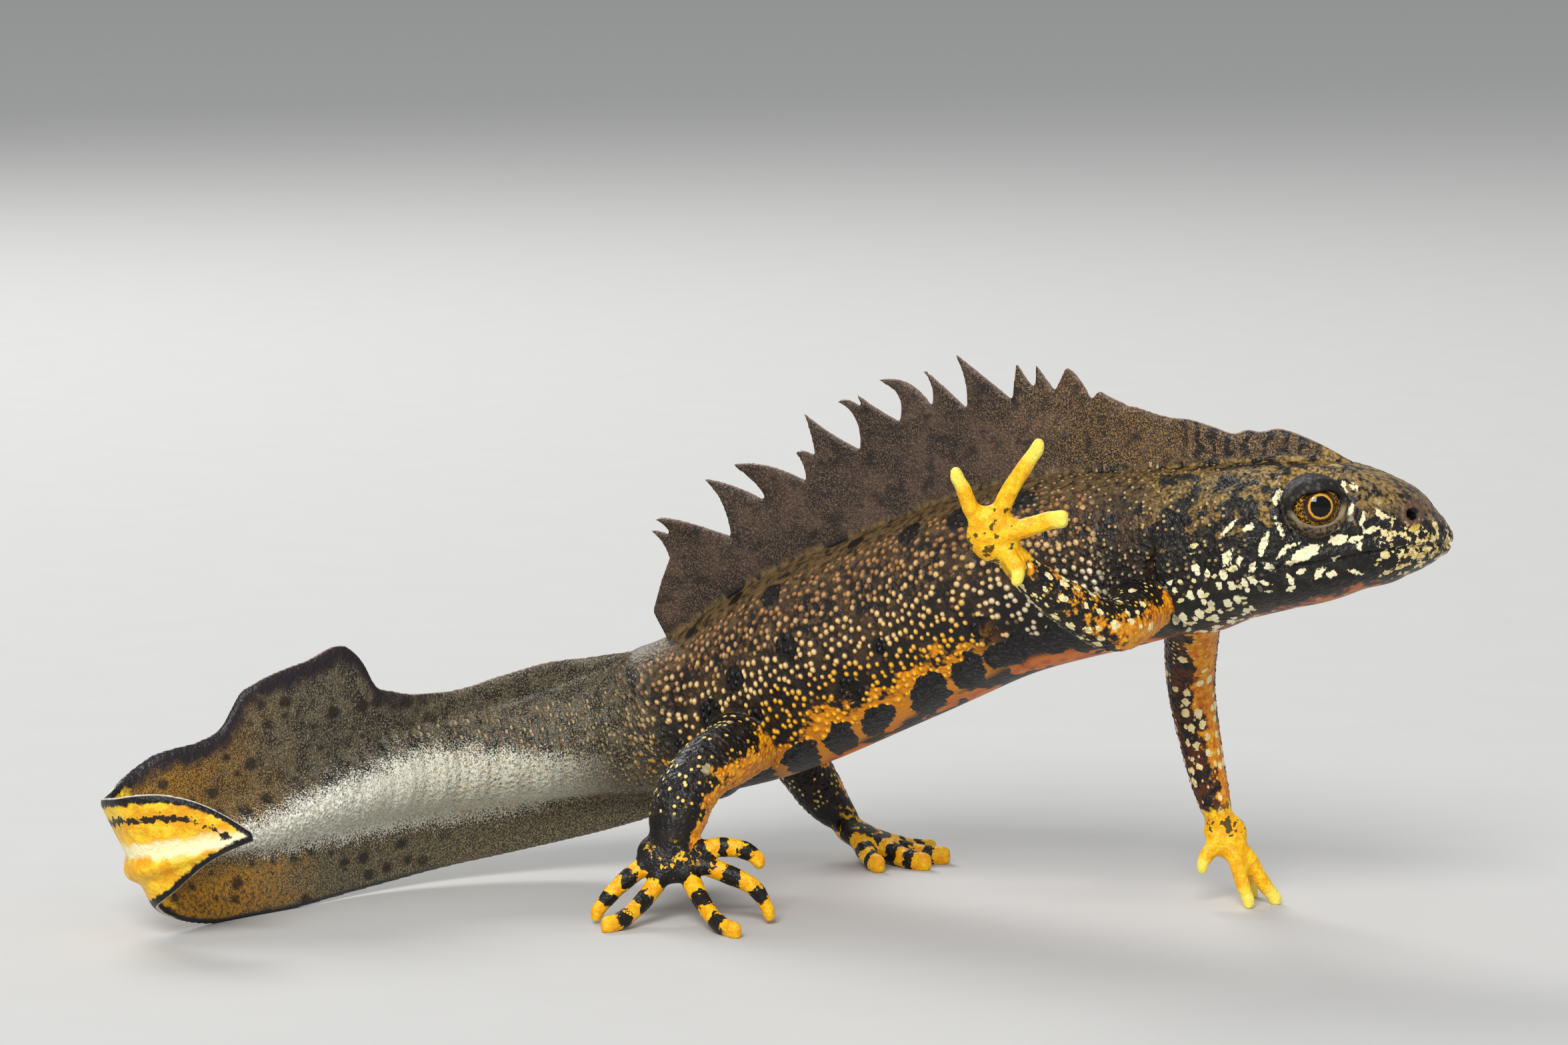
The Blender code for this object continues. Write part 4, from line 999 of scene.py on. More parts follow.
for side in (1, -1):
    here = head_share[right[head_share] * side > 0]
    for ahead, above, long, thin, tilt in FACE_MARKS:
        if side < 0:
            ahead, above, tilt = rng.normal(ahead, 0.3), rng.normal(above, 0.25), rng.normal(tilt, 25)
        off = np.stack([EYE_ALONG - along[here] - ahead, high[here] - EYE_HIGH - above])
        turn = math.radians(tilt)
        lengthwise = off[0] * math.cos(turn) + off[1] * math.sin(turn)
        crosswise = off[1] * math.cos(turn) - off[0] * math.sin(turn)
        reach = np.hypot(lengthwise / (long / 2), crosswise / (thin / 2))
        cream[here] = np.maximum(cream[here], (1 - reach) * thin / 2)
print("face marks:", len(FACE_MARKS), "on each side")

# %% Rims of the thin fins
sideways = np.abs((normals_of(skin_mesh, points) * rightward).sum(-1))
thin_sheet = np.maximum(on_crest, ease(along, 68, 74) * on_body
                        * ease(np.minimum(back - high, high - low(along)), 2.0, 0.8))
rim = ease(sideways, 0.85, 0.35) * thin_sheet
print("rims:", int((rim > 0.5).sum()), "points")

# %% [markdown]
# ## How strongly the skin is beaded
#
# Warts are tall on the flank, small on the nape and legs, and missing on the belly, the
# palms and the toes. So each point gets the height its warts may have. The beads are laid
# on a flat map of the skin: mm along the body, and mm round it from the belly. On such a
# map each bead has a middle on the skin, which a pattern in space would often miss.

# %% Bead heights
flank = ease(along, 23, 29) * ease(along, 76, 64) * on_body * (1 - on_crest)
flank = flank * ease(high, belly_line(along) - 0.8, belly_line(along) + 0.2)
coarse_beads = 0.16 * flank * ease(back - high, 0.2, 2.0)
nape = ease(along, 9, 13) * ease(along, 32, 25) * on_body * ease(high, -3.5, 0.5) * (1 - on_crest)
tail_grain = ease(along, 64, 70) * ease(along, 100, 78) * on_body * ease(high, -6, -3) * ease(high, 6, 4)
wrist_at = np.array([99.0, *WRISTS])[limb_number.round().astype(int)]      # the body has none
limb_grain = on_limb * ease(toe_out, 0.3, 0.0) * ease(limb_along, 2, 5)
limb_grain *= ease(limb_along, wrist_at + 0.8, wrist_at - 0.8)
snout = ease(along, 12, 7) * ease(high, -1.5, 1.0) * on_body
fine_beads = np.maximum.reduce([0.10 * nape, 0.05 * tail_grain, 0.06 * limb_grain, 0.03 * snout])
fine_beads *= ease(eye_place[:, 2], 2.4, 3.0)
upper_lid = ease(eye_place[:, 2], 2.7, 2.4) * ease(eye_place[:, 1], 0.3, 1.0)
fine_beads = np.maximum(fine_beads, 0.04 * upper_lid)
print("beaded points: coarse", int((coarse_beads > 0.02).sum()), "| fine", int((fine_beads > 0.02).sum()))

# %% The map the beads lie on
FIN_TOP = 12.0                                # mm: the tail is mapped down from here, like a sheet
PAST_TAIL, LIMBS_APART = 150.0, 30.0          # mm: each limb has its own stretch of the map
LIMB_GIRTH = 2.1                              # mm: about the radius of a limb
half_tall = (back - low(along)) / 2
roundness = np.arctan2(np.abs(right) / wide(along), (high - (back + low(along)) / 2) / half_tall)
around = np.sign(right) * roundness * np.sqrt((wide(along) ** 2 + half_tall ** 2) / 2)
around = around + ease(along, 62, 76) * (np.sign(right) * (FIN_TOP - high) - around)
limb_map = np.stack([limb_along + PAST_TAIL + LIMBS_APART * limb_number, LIMB_GIRTH * limb_turn], -1)
bead_place = np.where((on_limb > 0.5)[:, None], limb_map, np.stack([along, around], -1))
bead_place = np.concatenate([bead_place, np.zeros((len(points), 1))], axis=1)
print("the map reaches from", bead_place.min(0).round(1), "to", bead_place.max(0).round(1), "mm")

# %% Notes on the skin
points[:, 2] = np.maximum(points[:, 2], 0.0)
notes = {
    "rest": points, "body_place": np.stack([along, right, high], -1),
    "limb_place": limb_place, "limb_aim": limb_aim, "on_limb": on_limb, "on_crest": on_crest,
    "rim": rim, "silver": silver, "under_belly": under_belly, "tongues": tongues, "cream": cream,
    "below_back": back - high, "above_edge": high - low(along),
    "eye_place": eye_place, "bead_place": bead_place,
    "coarse_beads": coarse_beads, "fine_beads": fine_beads,
}
move_corners(skin_mesh, points)
for name, values in notes.items():
    kind = "FLOAT_VECTOR" if values.ndim == 2 else "FLOAT"
    note = skin_mesh.attributes.new(name, kind, "POINT")
    note.data.foreach_set("vector" if values.ndim == 2 else "value", values.ravel().astype(np.float32))
print("notes on the skin:", ", ".join(notes))

# %% [markdown]
# ## One helper for every node
#
# All patterns below are node trees. One function adds a node, sets its properties and
# fills its inputs, each with a value or with another node, whose first output in use is
# then linked. It serves the tree that raises the warts and the tree that colours them.


# %% Adding a node
def add(tree, kind, inputs=None, **settings):
    """Add a node to a tree; inputs go by name or number and hold values, nodes or sockets."""
    node = tree.nodes.new(kind)
    for name, value in settings.items():
        setattr(node, name, value)
    for key, value in (inputs or {}).items():
        used = [s for s in node.inputs if s.enabled]
        socket = used[key] if isinstance(key, int) else next(s for s in used if s.name == key)
        if isinstance(value, bpy.types.Node):
            value = next(s for s in value.outputs if s.enabled)
        if isinstance(value, bpy.types.NodeSocket):
            tree.links.new(value, socket)
        else:
            socket.default_value = value
    return node


relief_tree = bpy.data.node_groups.new("raise_warts", "GeometryNodeTree")
map_place = add(relief_tree, "GeometryNodeInputNamedAttribute", {"Name": "bead_place"},
                data_type="FLOAT_VECTOR")
print("first node:", map_place.bl_label, "with", len(map_place.outputs), "outputs")

# %% [markdown]
# ## Warts
#
# A crested newt's flank is covered with domed warts about half a millimetre wide and a
# little under a millimetre apart; on the neck and legs they are finer. A cell pattern
# gives each wart a middle and a size of its own. The same pattern, at the same places,
# raises the skin here and whitens the tips of the warts in the material later.

# %% Raising the warts
COARSE, FINE = 0.70, 0.52     # mm from one wart to the next


def wart_dome(tree, place, spacing, seed):
    """Height of the warts from 0 to 1, and a random number for each wart."""
    moved = add(tree, "ShaderNodeVectorMath", {0: place, 1: (seed, 3 * seed, 0.0)}, operation="ADD")
    cells = add(tree, "ShaderNodeTexVoronoi", {"Vector": moved, "Scale": 1 / spacing, "Randomness": 0.85},
                voronoi_dimensions="2D", feature="F1")
    chance = add(tree, "ShaderNodeSeparateXYZ", {0: cells.outputs["Color"]}).outputs[0]
    reach = add(tree, "ShaderNodeMapRange", {0: chance, 3: 0.33, 4: 0.50})
    dome = add(tree, "ShaderNodeMapRange", {0: cells.outputs["Distance"], 1: reach, 2: 0.04},
               interpolation_type="SMOOTHSTEP")
    return dome, chance


for way in ("INPUT", "OUTPUT"):
    relief_tree.interface.new_socket(name="Skin", in_out=way, socket_type="NodeSocketGeometry")
came_in = add(relief_tree, "NodeGroupInput")
height = 0.0
for name, spacing, seed in (("coarse_beads", COARSE, 1.0), ("fine_beads", FINE, 2.0)):
    strength = add(relief_tree, "GeometryNodeInputNamedAttribute", {"Name": name}, data_type="FLOAT")
    dome, _ = wart_dome(relief_tree, map_place, spacing, seed)
    height = add(relief_tree, "ShaderNodeMath", {0: dome, 1: strength, 2: height}, operation="MULTIPLY_ADD")
outward = add(relief_tree, "ShaderNodeVectorMath",
              {0: add(relief_tree, "GeometryNodeInputNormal"), "Scale": height}, operation="SCALE")
raised = add(relief_tree, "GeometryNodeSetPosition", {"Geometry": came_in, "Offset": outward})
add(relief_tree, "NodeGroupOutput", {0: raised})
print("wart tree:", len(relief_tree.nodes), "nodes")

# %% The finished skin
warty = in_scene("warty", skin_mesh)
warty.modifiers.new("warts", "NODES").node_group = relief_tree
skin_mesh = baked_mesh(warty)
points = corners_of(skin_mesh)
points[:, 2] = np.maximum(points[:, 2], 0.0)
print("warts raise the skin by up to", float((coarse_beads + fine_beads).max().round(3)), "mm")
move_corners(skin_mesh, points * MM)
skin_mesh.shade_smooth()
skin = in_scene("newt_skin", skin_mesh)
skin_mesh.name = "newt_skin"
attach(skin, "root")
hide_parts(*[name for name in frame["nodes"] if not name.startswith("eye_")])

# %% [markdown]
# ## Newt skin: moist, pigmented, lit from the surface
#
# Living newt skin is thin, soft and a little wet. Its colour comes from pigment cells:
# black, yellow to orange, and silvery ones that scatter light. One shader does for all of
# it; what matters is the map of pigments. It could be an image, but a picture would blur
# close up. So it is painted in layers, each a pigment and the limits of where it lies.
# Colours are read as sRGB hex codes and turned linear, the way a renderer counts light.

# %% The skin's material and its notes
def blank_material(name):
    """A new material and its node tree, still empty."""
    material = bpy.data.materials.new(name)
    material.use_nodes = True
    material.node_tree.nodes.clear()
    return material, material.node_tree


def linear(code):
    """Linear colour of an sRGB hex code."""
    values = [int(code[i:i + 2], 16) / 255 for i in (0, 2, 4)]
    return (*[v / 12.92 if v <= 0.04045 else ((v + 0.055) / 1.055) ** 2.4 for v in values], 1.0)


skin_material, paint_tree = blank_material("moist_newt_skin")
read_note = {name: add(paint_tree, "ShaderNodeAttribute", attribute_name=name).outputs for name in notes}
rest, bead_at, eye_at = [read_note[name]["Vector"] for name in ("rest", "bead_place", "eye_place")]
(along_at, _, high_at), (limb_at, toe_at, which_at), (front_aim, _, up_aim), (_, over_eye, ring_at) = [
    add(paint_tree, "ShaderNodeSeparateXYZ", {0: read_note[name]["Vector"]}).outputs
    for name in ("body_place", "limb_place", "limb_aim", "eye_place")]
field = {name: read_note[name]["Fac"] for name in notes if notes[name].ndim == 1}
print("the painter reads", len(read_note), "notes")

# %% [markdown]
# ## Layers of pigment
#
# Three helpers turn measures into paint. One adds up measures, each with a weight. One
# says how far a set of limits holds, each limit a soft step between two values. One lays
# a pigment over what is there, inside its limits. Soft steps matter: pigment cells thin
# out over a tenth of a millimetre, so a marking never ends in a hard line.


# %% Weights, limits and layers
def total(*terms):
    """The sum of values, each with its weight: (value, weight), ..."""
    result = 0.0
    for value, weight in terms:
        result = add(paint_tree, "ShaderNodeMath", {0: value, 1: weight, 2: result},
                     operation="MULTIPLY_ADD")
    return result


def where(*limits):
    """How far all limits hold, 0 to 1: a limit is a mask, a share, or (value, from, to)."""
    held = [add(paint_tree, "ShaderNodeMapRange", dict(enumerate(limit)), interpolation_type="SMOOTHSTEP")
            if isinstance(limit, tuple) else limit for limit in limits]
    while len(held) > 1:
        both = add(paint_tree, "ShaderNodeMath", {0: held[0], 1: held[1]}, operation="MULTIPLY")
        held[:2] = [both]
    return held[0]


def lay(under, pigment, *limits):
    """Lay a pigment over another where all limits hold; each is a hex code or already painted."""
    under, pigment = [linear(coat) if isinstance(coat, str) else coat for coat in (under, pigment)]
    return add(paint_tree, "ShaderNodeMix", {"Factor": where(*limits), "A": under, "B": pigment},
               data_type="RGBA")


print("before the first layer:", len(paint_tree.nodes), "nodes")

# %% [markdown]
# ## Grain and spots
#
# Pigment cells lie in clumps of many sizes. Noise with blots of a real size in mm stands
# for that, and each size is made once and shared, because every noise costs time in each
# ray of light. Round spots come from a cell pattern laid on the same map as the warts:
# cells a few mm apart, of which only some show, each with a size of its own.

# %% Grain
DUST, SPECK, CLUMP, BLOT, PATCH, CLOUD = 0.11, 0.3, 0.6, 1.2, 2.6, 5.0      # mm
grains = {}


def grain(size, seed=0):
    """Noise with blots of a size in mm, about -0.3 to 0.3; each seed gives other blots."""
    if (size, seed) not in grains:
        moved = add(paint_tree, "ShaderNodeVectorMath", {0: rest, 1: (9 * seed, 5 * seed, 7 * seed)},
                    operation="ADD")
        detail = 1.5 if size < CLUMP else 3.0      # small blots need no finer ones in them
        noise = add(paint_tree, "ShaderNodeTexNoise",
                    {"Vector": moved, "Scale": 1 / size, "Detail": detail, "Roughness": 0.6})
        grains[size, seed] = add(paint_tree, "ShaderNodeMath", {0: noise, 1: 0.5}, operation="SUBTRACT")
    return grains[size, seed]


def ragged(distance, size, by, edge=0.06):
    """A mask where a distance in mm is positive, its outline roughened by grain."""
    return where((total((distance, 1.0), (grain(size), by)), -edge, edge))


print("sizes of grain:", DUST, SPECK, CLUMP, BLOT, PATCH, CLOUD, "mm")

# %% Spots
def spots(apart, share, radius, seed, squeeze=(1.0, 1.0, 1.0), zone=1.0, edge=0.05):
    """Scattered spots: mm apart, share that shows inside a zone, largest radius in mm."""
    moved = add(paint_tree, "ShaderNodeVectorMath", {0: bead_at, 1: squeeze, 2: (seed, 3 * seed, 0.0)},
                operation="MULTIPLY_ADD")
    cells = add(paint_tree, "ShaderNodeTexVoronoi",
                {"Vector": moved, "Scale": 1 / apart, "Randomness": 0.9},
                voronoi_dimensions="2D", feature="F1").outputs
    chance, size_chance, _ = add(paint_tree, "ShaderNodeSeparateXYZ", {0: cells["Color"]}).outputs
    shown = (total((chance, 1.0), (zone, -share)), 0.02, -0.02)
    wobble = (grain(CLUMP), 0.36 / apart) if apart > BLOT else (grain(SPECK), 0.5)
    # from a spot's outline, in widths of a cell: a spot has 0.55 to 1 of the largest radius
    away = total((cells["Distance"], 1.0), wobble,
                 (1.0, -0.55 * radius / apart), (where((size_chance, 0.0, 1.0)), -0.45 * radius / apart))
    return where(shown, (away, 0.02, -edge))


nodes_before = len(paint_tree.nodes)
dark_spots = spots(4.6, 0.62, 1.35, 4.0)      # on the flank
print("a set of spots takes", len(paint_tree.nodes) - nodes_before, "nodes")

# %% [markdown]
# ## The trunk
#
# The flank is black-brown with slate-black spots. Its warts are tipped with cream low on
# the side and with tan near the back; above the belly they turn yellow and run together
# into ragged patches. The belly is orange with black tongues that reach up the side; the
# tongues' blue-grey speckles are a painted sheen over black pigment.
# A wart's tip is lighter the higher it stands, so the same dome that raises it lights it.

# %% Flank and warts
coarse_dome, coarse_chance = wart_dome(paint_tree, bead_at, COARSE, 1.0)
fine_dome, fine_chance = wart_dome(paint_tree, bead_at, FINE, 2.0)
has_coarse = (field["coarse_beads"], 0.01, 0.05)
has_fine = (field["fine_beads"], 0.01, 0.04)

trunk = lay("17120f", "3b2a1a", (grain(PATCH), -0.05, 0.16))
trunk = lay(trunk, "5c4428", (grain(CLUMP), 0.0, 0.12), (high_at, -1.0, 4.5), 0.8)
trunk = lay(trunk, "6f5836", (field["below_back"], 2.6, 0.3), (grain(CLUMP), -0.2, 0.1), 0.8)
trunk = lay(trunk, "0c0b0b", dark_spots, 0.93)
outside_spots = (dark_spots, 0.8, 0.2)
patch = ragged(total((field["under_belly"], 1.0), (1.0, 1.5), (grain(BLOT), 3.0)), PATCH, 7.0, 0.3)
patch = where(patch, (along_at, 33.0, 38.0), (along_at, 64.0, 56.0))
trunk = lay(trunk, "e08c06", patch)
wart_colour = lay("a3713f", "edc884", (total((high_at, 1.0), (coarse_chance, -3.0)), 4.0, -0.5))
wart_colour = lay(wart_colour, "fbf0d2", (along_at, 38.0, 28.0), (high_at, 2.5, -0.5))
wart_colour = lay(wart_colour, "f5b21e", (total((high_at, 1.0), (grain(PATCH, 1), 6.0)), 1.2, -1.6),
                  (along_at, 30.0, 37.0))
trunk = lay(trunk, "64452a", (coarse_dome, 0.0, 0.2), has_coarse, outside_spots, (patch, 0.8, 0.2), 0.7)
trunk = lay(trunk, wart_colour, (coarse_dome, 0.08, 0.7), has_coarse, outside_spots,
            (coarse_chance, 0.08, 0.2))
print("flank painted:", len(paint_tree.nodes), "nodes so far")

# %% Belly and black tongues
belly = lay("dd7708", "bd5508", (grain(BLOT), -0.1, 0.15))
belly = lay(belly, "14110f", (grain(CLOUD), 0.03, 0.05))
trunk = lay(trunk, belly, (field["under_belly"], 1.5, 2.2))
# black pigment of the tongues, speckled with blue-grey 34363c as a painted sheen
tongue_black_and_sheen = lay("121010", "34363c", (grain(SPECK), 0.02, 0.2))
trunk = lay(trunk, tongue_black_and_sheen, ragged(total((field["tongues"], 1.0), (grain(PATCH, 1), 1.6)), BLOT, 1.5))
print("trunk painted:", len(paint_tree.nodes), "nodes so far")

# %% [markdown]
# ## The tail
#
# A male's tail carries a band of silvery white along each side, between two dusky fins.
# Toward the tip the fins turn ochre with dark spots, and the folded end shows its other
# face: golden, with a black margin, a pale streak and a row of dark dots. The markings
# follow the curves of height that were measured above, so they bend with the tail.

# %% Fins and silver band
tail = lay("221e19", "544a39", (grain(BLOT, 1), -0.12, 0.15))
tail = lay(tail, "938b70", (grain(DUST), 0.0, 0.12), 0.65)
tail = lay(tail, lay("332d24", "857858", (grain(DUST), -0.08, 0.14)), (high_at, 0.5, -2.5))
toward_tip = where((total((along_at, 1.0), (grain(PATCH), 10.0)), 97.0, 113.0))
tail = lay(tail, lay("3e2d17", "a1741f", (grain(DUST), -0.14, 0.12)), toward_tip)
tail = lay(tail, "c98b1c", toward_tip, (high_at, -2.2, -3.6), (grain(SPECK), -0.1, 0.1))
tail_spots = spots(1.7, 0.6, 0.72, 27.0, (0.9, 1.0, 1.0), edge=0.25)
tail = lay(tail, "17130f", tail_spots, (along_at, 82.0, 90.0), 0.85)
tail = lay(tail, "231c20", (total((field["below_back"], 1.0), (grain(BLOT), 2.5)), 2.2, 0.7),
           (along_at, 87.0, 92.0))
tail = lay(tail, "20222a", (field["above_edge"], 0.55, 0.25), (along_at, 84.0, 90.0))
silver_tone = lay("8f8c78", "d6d4c0", (grain(DUST), -0.16, 0.06))
silver_tone = lay(silver_tone, "f4f2e8", (grain(SPECK, 1), 0.0, 0.1), (along_at, 88.0, 98.0))
in_silver = total((field["silver"], 1.0), (grain(DUST), 4.0), (grain(BLOT), 1.5))
tail = lay(tail, silver_tone, (in_silver, -0.5, 0.7), (along_at, 71.0, 80.0))
print("fins and silver painted:", len(paint_tree.nodes), "nodes so far")

# %% Folded golden end
golden = lay("e8a20a", "fbd02c", (grain(BLOT), -0.14, 0.12))
streak = total((high_at, 1.0), (along_at, 0.17), (1.0, -21.7), (grain(BLOT), 1.5))
golden = lay(golden, "fbf2bb", (streak, 0.9, 0.2), (streak, -0.9, -0.2))
from_row = add(paint_tree, "ShaderNodeMath", {0: total((field["below_back"], 1.0), (1.0, -1.9))},
               operation="ABSOLUTE")
golden = lay(golden, "2a1c0c", ragged(total((from_row, -1.0), (1.0, 0.22)), CLUMP, 2.2, 0.1))
from_margin = add(paint_tree, "ShaderNodeMath", {0: field["below_back"], 1: field["above_edge"]},
                  operation="MINIMUM")
golden = lay(golden, "0f0c0b", (total((from_margin, 1.0), (grain(CLUMP), 0.8)), 0.75, 0.5))
golden = lay(golden, "cfc4b0", (from_margin, 0.12, 0.05))
tail = lay(tail, golden, (total((along_at, 1.0), (grain(BLOT), 4.0)), 112.6, 114.0))
skin_colour = lay(trunk, tail, (total((along_at, 1.0), (grain(BLOT), 9.0)), 63.0, 72.0))
print("tail painted:", len(paint_tree.nodes), "nodes so far")

# %% [markdown]
# ## The crest
#
# The crest is a sheet of skin, dusky brown and dusted with gold that is finer than a tenth
# of a millimetre, drawn just coarse enough to show. Over the nape it has dark bars. Its
# thin rim lets some light through and looks paler, so the rim is painted paler, painted
# light that stands in for the light through it; true see-through skin would cost far more
# time for so narrow an edge.

# %% Sail and rim
sail = lay("241a17", "48372e", (grain(PATCH), -0.1, 0.18))
sail = lay(sail, "80684d", (grain(DUST), -0.02, 0.14), 0.6)
sail = lay(sail, "a07c3e", (grain(DUST), -0.04, 0.12), (along_at, 36.0, 20.0), 0.65)
sail = lay(sail, "140f0e", (grain(BLOT, 1), 0.02, 0.2), 0.75)
bars = add(paint_tree, "ShaderNodeMath", {0: total((along_at, 5.0), (high_at, 1.3), (grain(BLOT), 9.0))},
           operation="SINE")
sail = lay(sail, "130e0d", (bars, 0.1, 0.7), (along_at, 20.5, 17.0), 0.92)
skin_colour = lay(skin_colour, sail, field["on_crest"])
# painted light: the thin rims of the crest and tail fins are painted paler where light would shine through
# them
skin_colour = lay(skin_colour, "94786a", (field["rim"], 0.35, 0.9), (along_at, 104.0, 98.0), 0.7)
print("crest painted:", len(paint_tree.nodes), "nodes so far")

# %% [markdown]
# ## The head
#
# The crown is charcoal mottled with dull gold, the snout flecked with gold and cream, the
# throat orange and black. Cream marks run along the lips and crowd the cheek; the largest
# were placed one by one above, and the small ones are spots. The nostril is a pit with a
# brown rim, its middle painted near-black as painted shade of the opening, and the lids are
# near-black skin with a tan edge under the eye.

# %% Crown and throat
crown = lay("12100d", "2d2a22", (grain(CLUMP), -0.05, 0.2))
upper = where((total((high_at, 1.0), (grain(PATCH), 8.0)), 0.6, 4.6))
crown = lay(crown, lay("5c4826", "b08c46", (grain(SPECK), -0.1, 0.12)),
            (total((grain(BLOT, 1), 1.0), (upper, 0.13)), 0.07, 0.14), (high_at, -0.6, 1.4),
            total((1.0, 0.92), (where((along_at, 9.5, 15.5)), -0.32)))
crown = lay(crown, "7d6259", (along_at, 4.6, 2.0), (high_at, 0.6, 1.8), (grain(CLUMP, 1), -0.1, 0.12), 0.7)
crown = lay(crown, "8f7240", (along_at, 8.6, 6.5), (high_at, 1.0, 2.4), (grain(CLUMP), -0.04, 0.08), 0.8)
throat = lay("c96a14", "22150d", (grain(BLOT), -0.02, 0.08))
crown = lay(crown, throat, (total((high_at, 1.0), (along_at, 0.12), (grain(BLOT, 1), 2.5)), -3.0, -3.9))
print("crown painted:", len(paint_tree.nodes), "nodes so far")

# %% Cheek, lips and snout
cheek = where((along_at, 14.0, 15.6), (along_at, 21.2, 19.8),
              (total((high_at, 1.0), (along_at, 0.25)), 4.4, 3.2), (high_at, -6.6, -5.8))
crown = lay(crown, "f7edc4", spots(0.72, 0.9, 0.30, 56.0, (1.0, 0.6, 1.0), cheek))
loose = where((along_at, 10.5, 14.0), (along_at, 21.0, 18.0), (high_at, 1.6, -0.4), (high_at, -6.5, -5.5))
crown = lay(crown, "e9dba0", spots(1.0, 0.5, 0.26, 61.0, (0.75, 1.0, 1.0), loose))
snout = where((along_at, 6.0, 2.6), (high_at, -4.0, -2.8), (high_at, 1.6, 0.2))
fleck = total((grain(CLUMP, 1), 1.0), (snout, 0.12))
crown = lay(crown, lay("c29a45", "eedca0", (grain(SPECK, 1), -0.08, 0.08)), (fleck, 0.11, 0.15),
            (snout, 0.0, 0.2))
cream_tone = lay("f7ebc0", "d3b04c", (along_at, 6.5, 2.5))
crown = lay(crown, cream_tone, ragged(field["cream"], SPECK, 0.5, 0.04))
print("cheek painted:", len(paint_tree.nodes), "nodes so far")

# %% Nostril and lids
from_nostril = add(paint_tree, "ShaderNodeCombineXYZ",
                   {0: total((along_at, 1.0), (1.0, -NOSTRIL[0])),
                    1: total((high_at, 1.0), (1.0, -NOSTRIL[1]))})
from_nostril = add(paint_tree, "ShaderNodeVectorMath", {0: from_nostril}, operation="LENGTH")
crown = lay(crown, "6b4b36", (from_nostril, 0.95, 0.7), 0.75)
# painted shade: the near-black middle of the nostril stands for the shade inside its opening
crown = lay(crown, "050303", (from_nostril, 0.5, 0.34))
lid = lay("171412", "463f36", (fine_dome, 0.2, 0.9))
lid = lay(lid, "6b5636", (over_eye, -0.3, 0.9), (grain(SPECK), -0.1, 0.12))
opening = add(paint_tree, "ShaderNodeVectorMath", {0: eye_at, 1: (1 / 1.82, 1 / 1.33, 0.0)},
              operation="MULTIPLY")      # 1 on the edge of the lids: 1.82 mm to the side, 1.33 up
opening = add(paint_tree, "ShaderNodeVectorMath", {0: opening}, operation="LENGTH")
lid = lay(lid, "8b7b5d", (opening, 1.22, 1.10), (over_eye, 0.0, 0.6))
crown = lay(crown, lid, (ring_at, 2.62, 2.5), (field["cream"], 0.05, -0.05))
skin_colour = lay(skin_colour, crown, (total((along_at, 1.0), (grain(BLOT), 5.0)), 22.0, 19.5),
                  (field["on_crest"], 0.6, 0.2))
rarer = where((along_at, 26.0, 14.0))
nape_tip = lay("7d5d36", "c9ab76", (fine_chance, 0.5, 0.95))
skin_colour = lay(skin_colour, nape_tip, (fine_dome, 0.45, 0.85), has_fine, (along_at, 12.0, 16.0),
                  (total((fine_chance, 1.0), (rarer, -0.3)), 0.4, 0.55), (field["on_limb"], 0.6, 0.2), 0.8)
print("head painted:", len(paint_tree.nodes), "nodes so far")

# %% [markdown]
# ## The legs
#
# The legs are black with yellow beads on the outside and orange along the leading side;
# the inner side of the standing foreleg is rusty. Both hands are yellow, paler at the
# tips, and flecked with black on the palm. The toes of the hind feet are banded black
# and yellow. The limbs are numbered, so one limit tells a hand from a foot.

# %% Legs
is_left_arm = where((which_at, 1.4, 1.6), (which_at, 2.6, 2.4))
is_hind = where((which_at, 2.4, 2.6))
leg = lay("110e0c", "2c2117", (grain(BLOT), -0.05, 0.18))
leg = lay(leg, "54260c", is_left_arm, (grain(BLOT, 1), -0.1, 0.1))
leading = total((front_aim, 1.0), (up_aim, -0.4), (grain(BLOT), 1.9), (is_left_arm, 0.35),
                (is_hind, -0.14))
leg = lay(leg, lay("cf6f04", "eda114", (grain(CLUMP), -0.12, 0.12)), (leading, 0.45, 0.65))
leg = lay(leg, "14100e", is_left_arm, (total((front_aim, 1.0), (grain(CLUMP), 0.5)), 0.88, 0.95))
leg_bead = lay("f2d27c", "f3b51f", (total((front_aim, 1.0), (grain(BLOT, 1), 1.0)), 0.0, 0.6))
bead_chance = total((fine_chance, 1.0), (grain(PATCH), 0.8), (is_hind, 0.2))
leg = lay(leg, leg_bead, (fine_dome, 0.35, 0.75), has_fine, (bead_chance, 0.75, 0.85))
arm_spots = spots(1.15, 0.62, 0.42, 33.0, zone=where((limb_at, 6.0, 8.5), (which_at, 2.6, 2.4)))
leg = lay(leg, "f6e3a6", arm_spots, (toe_at, 0.05, 0.0))
print("legs painted:", len(paint_tree.nodes), "nodes so far")

# %% Hands and feet
banding = total((toe_at, 18.5), (grain(CLUMP), 5.0), (grain(PATCH), 5.0))      # 18.5: three bands a toe
bands = add(paint_tree, "ShaderNodeMath", {0: banding}, operation="SINE")
foot = lay("f0a200", "f7c012", (grain(CLUMP, 1), -0.1, 0.1))
foot = lay(foot, "15110d", (bands, -0.15, 0.15), (toe_at, 0.94, 0.86))
foot = lay(foot, "110e0c", (toe_at, 0.1, 0.0), (grain(BLOT, 1), 0.06, -0.02))
hand = lay("eea800", "fccb1c", (grain(CLUMP), -0.1, 0.12))
palm_spots = total((grain(BLOT, 1), 1.0), (grain(CLUMP), 0.4), (toe_at, -0.35))
hand = lay(hand, "20170f", (palm_spots, 0.04, 0.09), 0.9)
hand = lay(hand, "f8e25a", (toe_at, 0.72, 0.95))
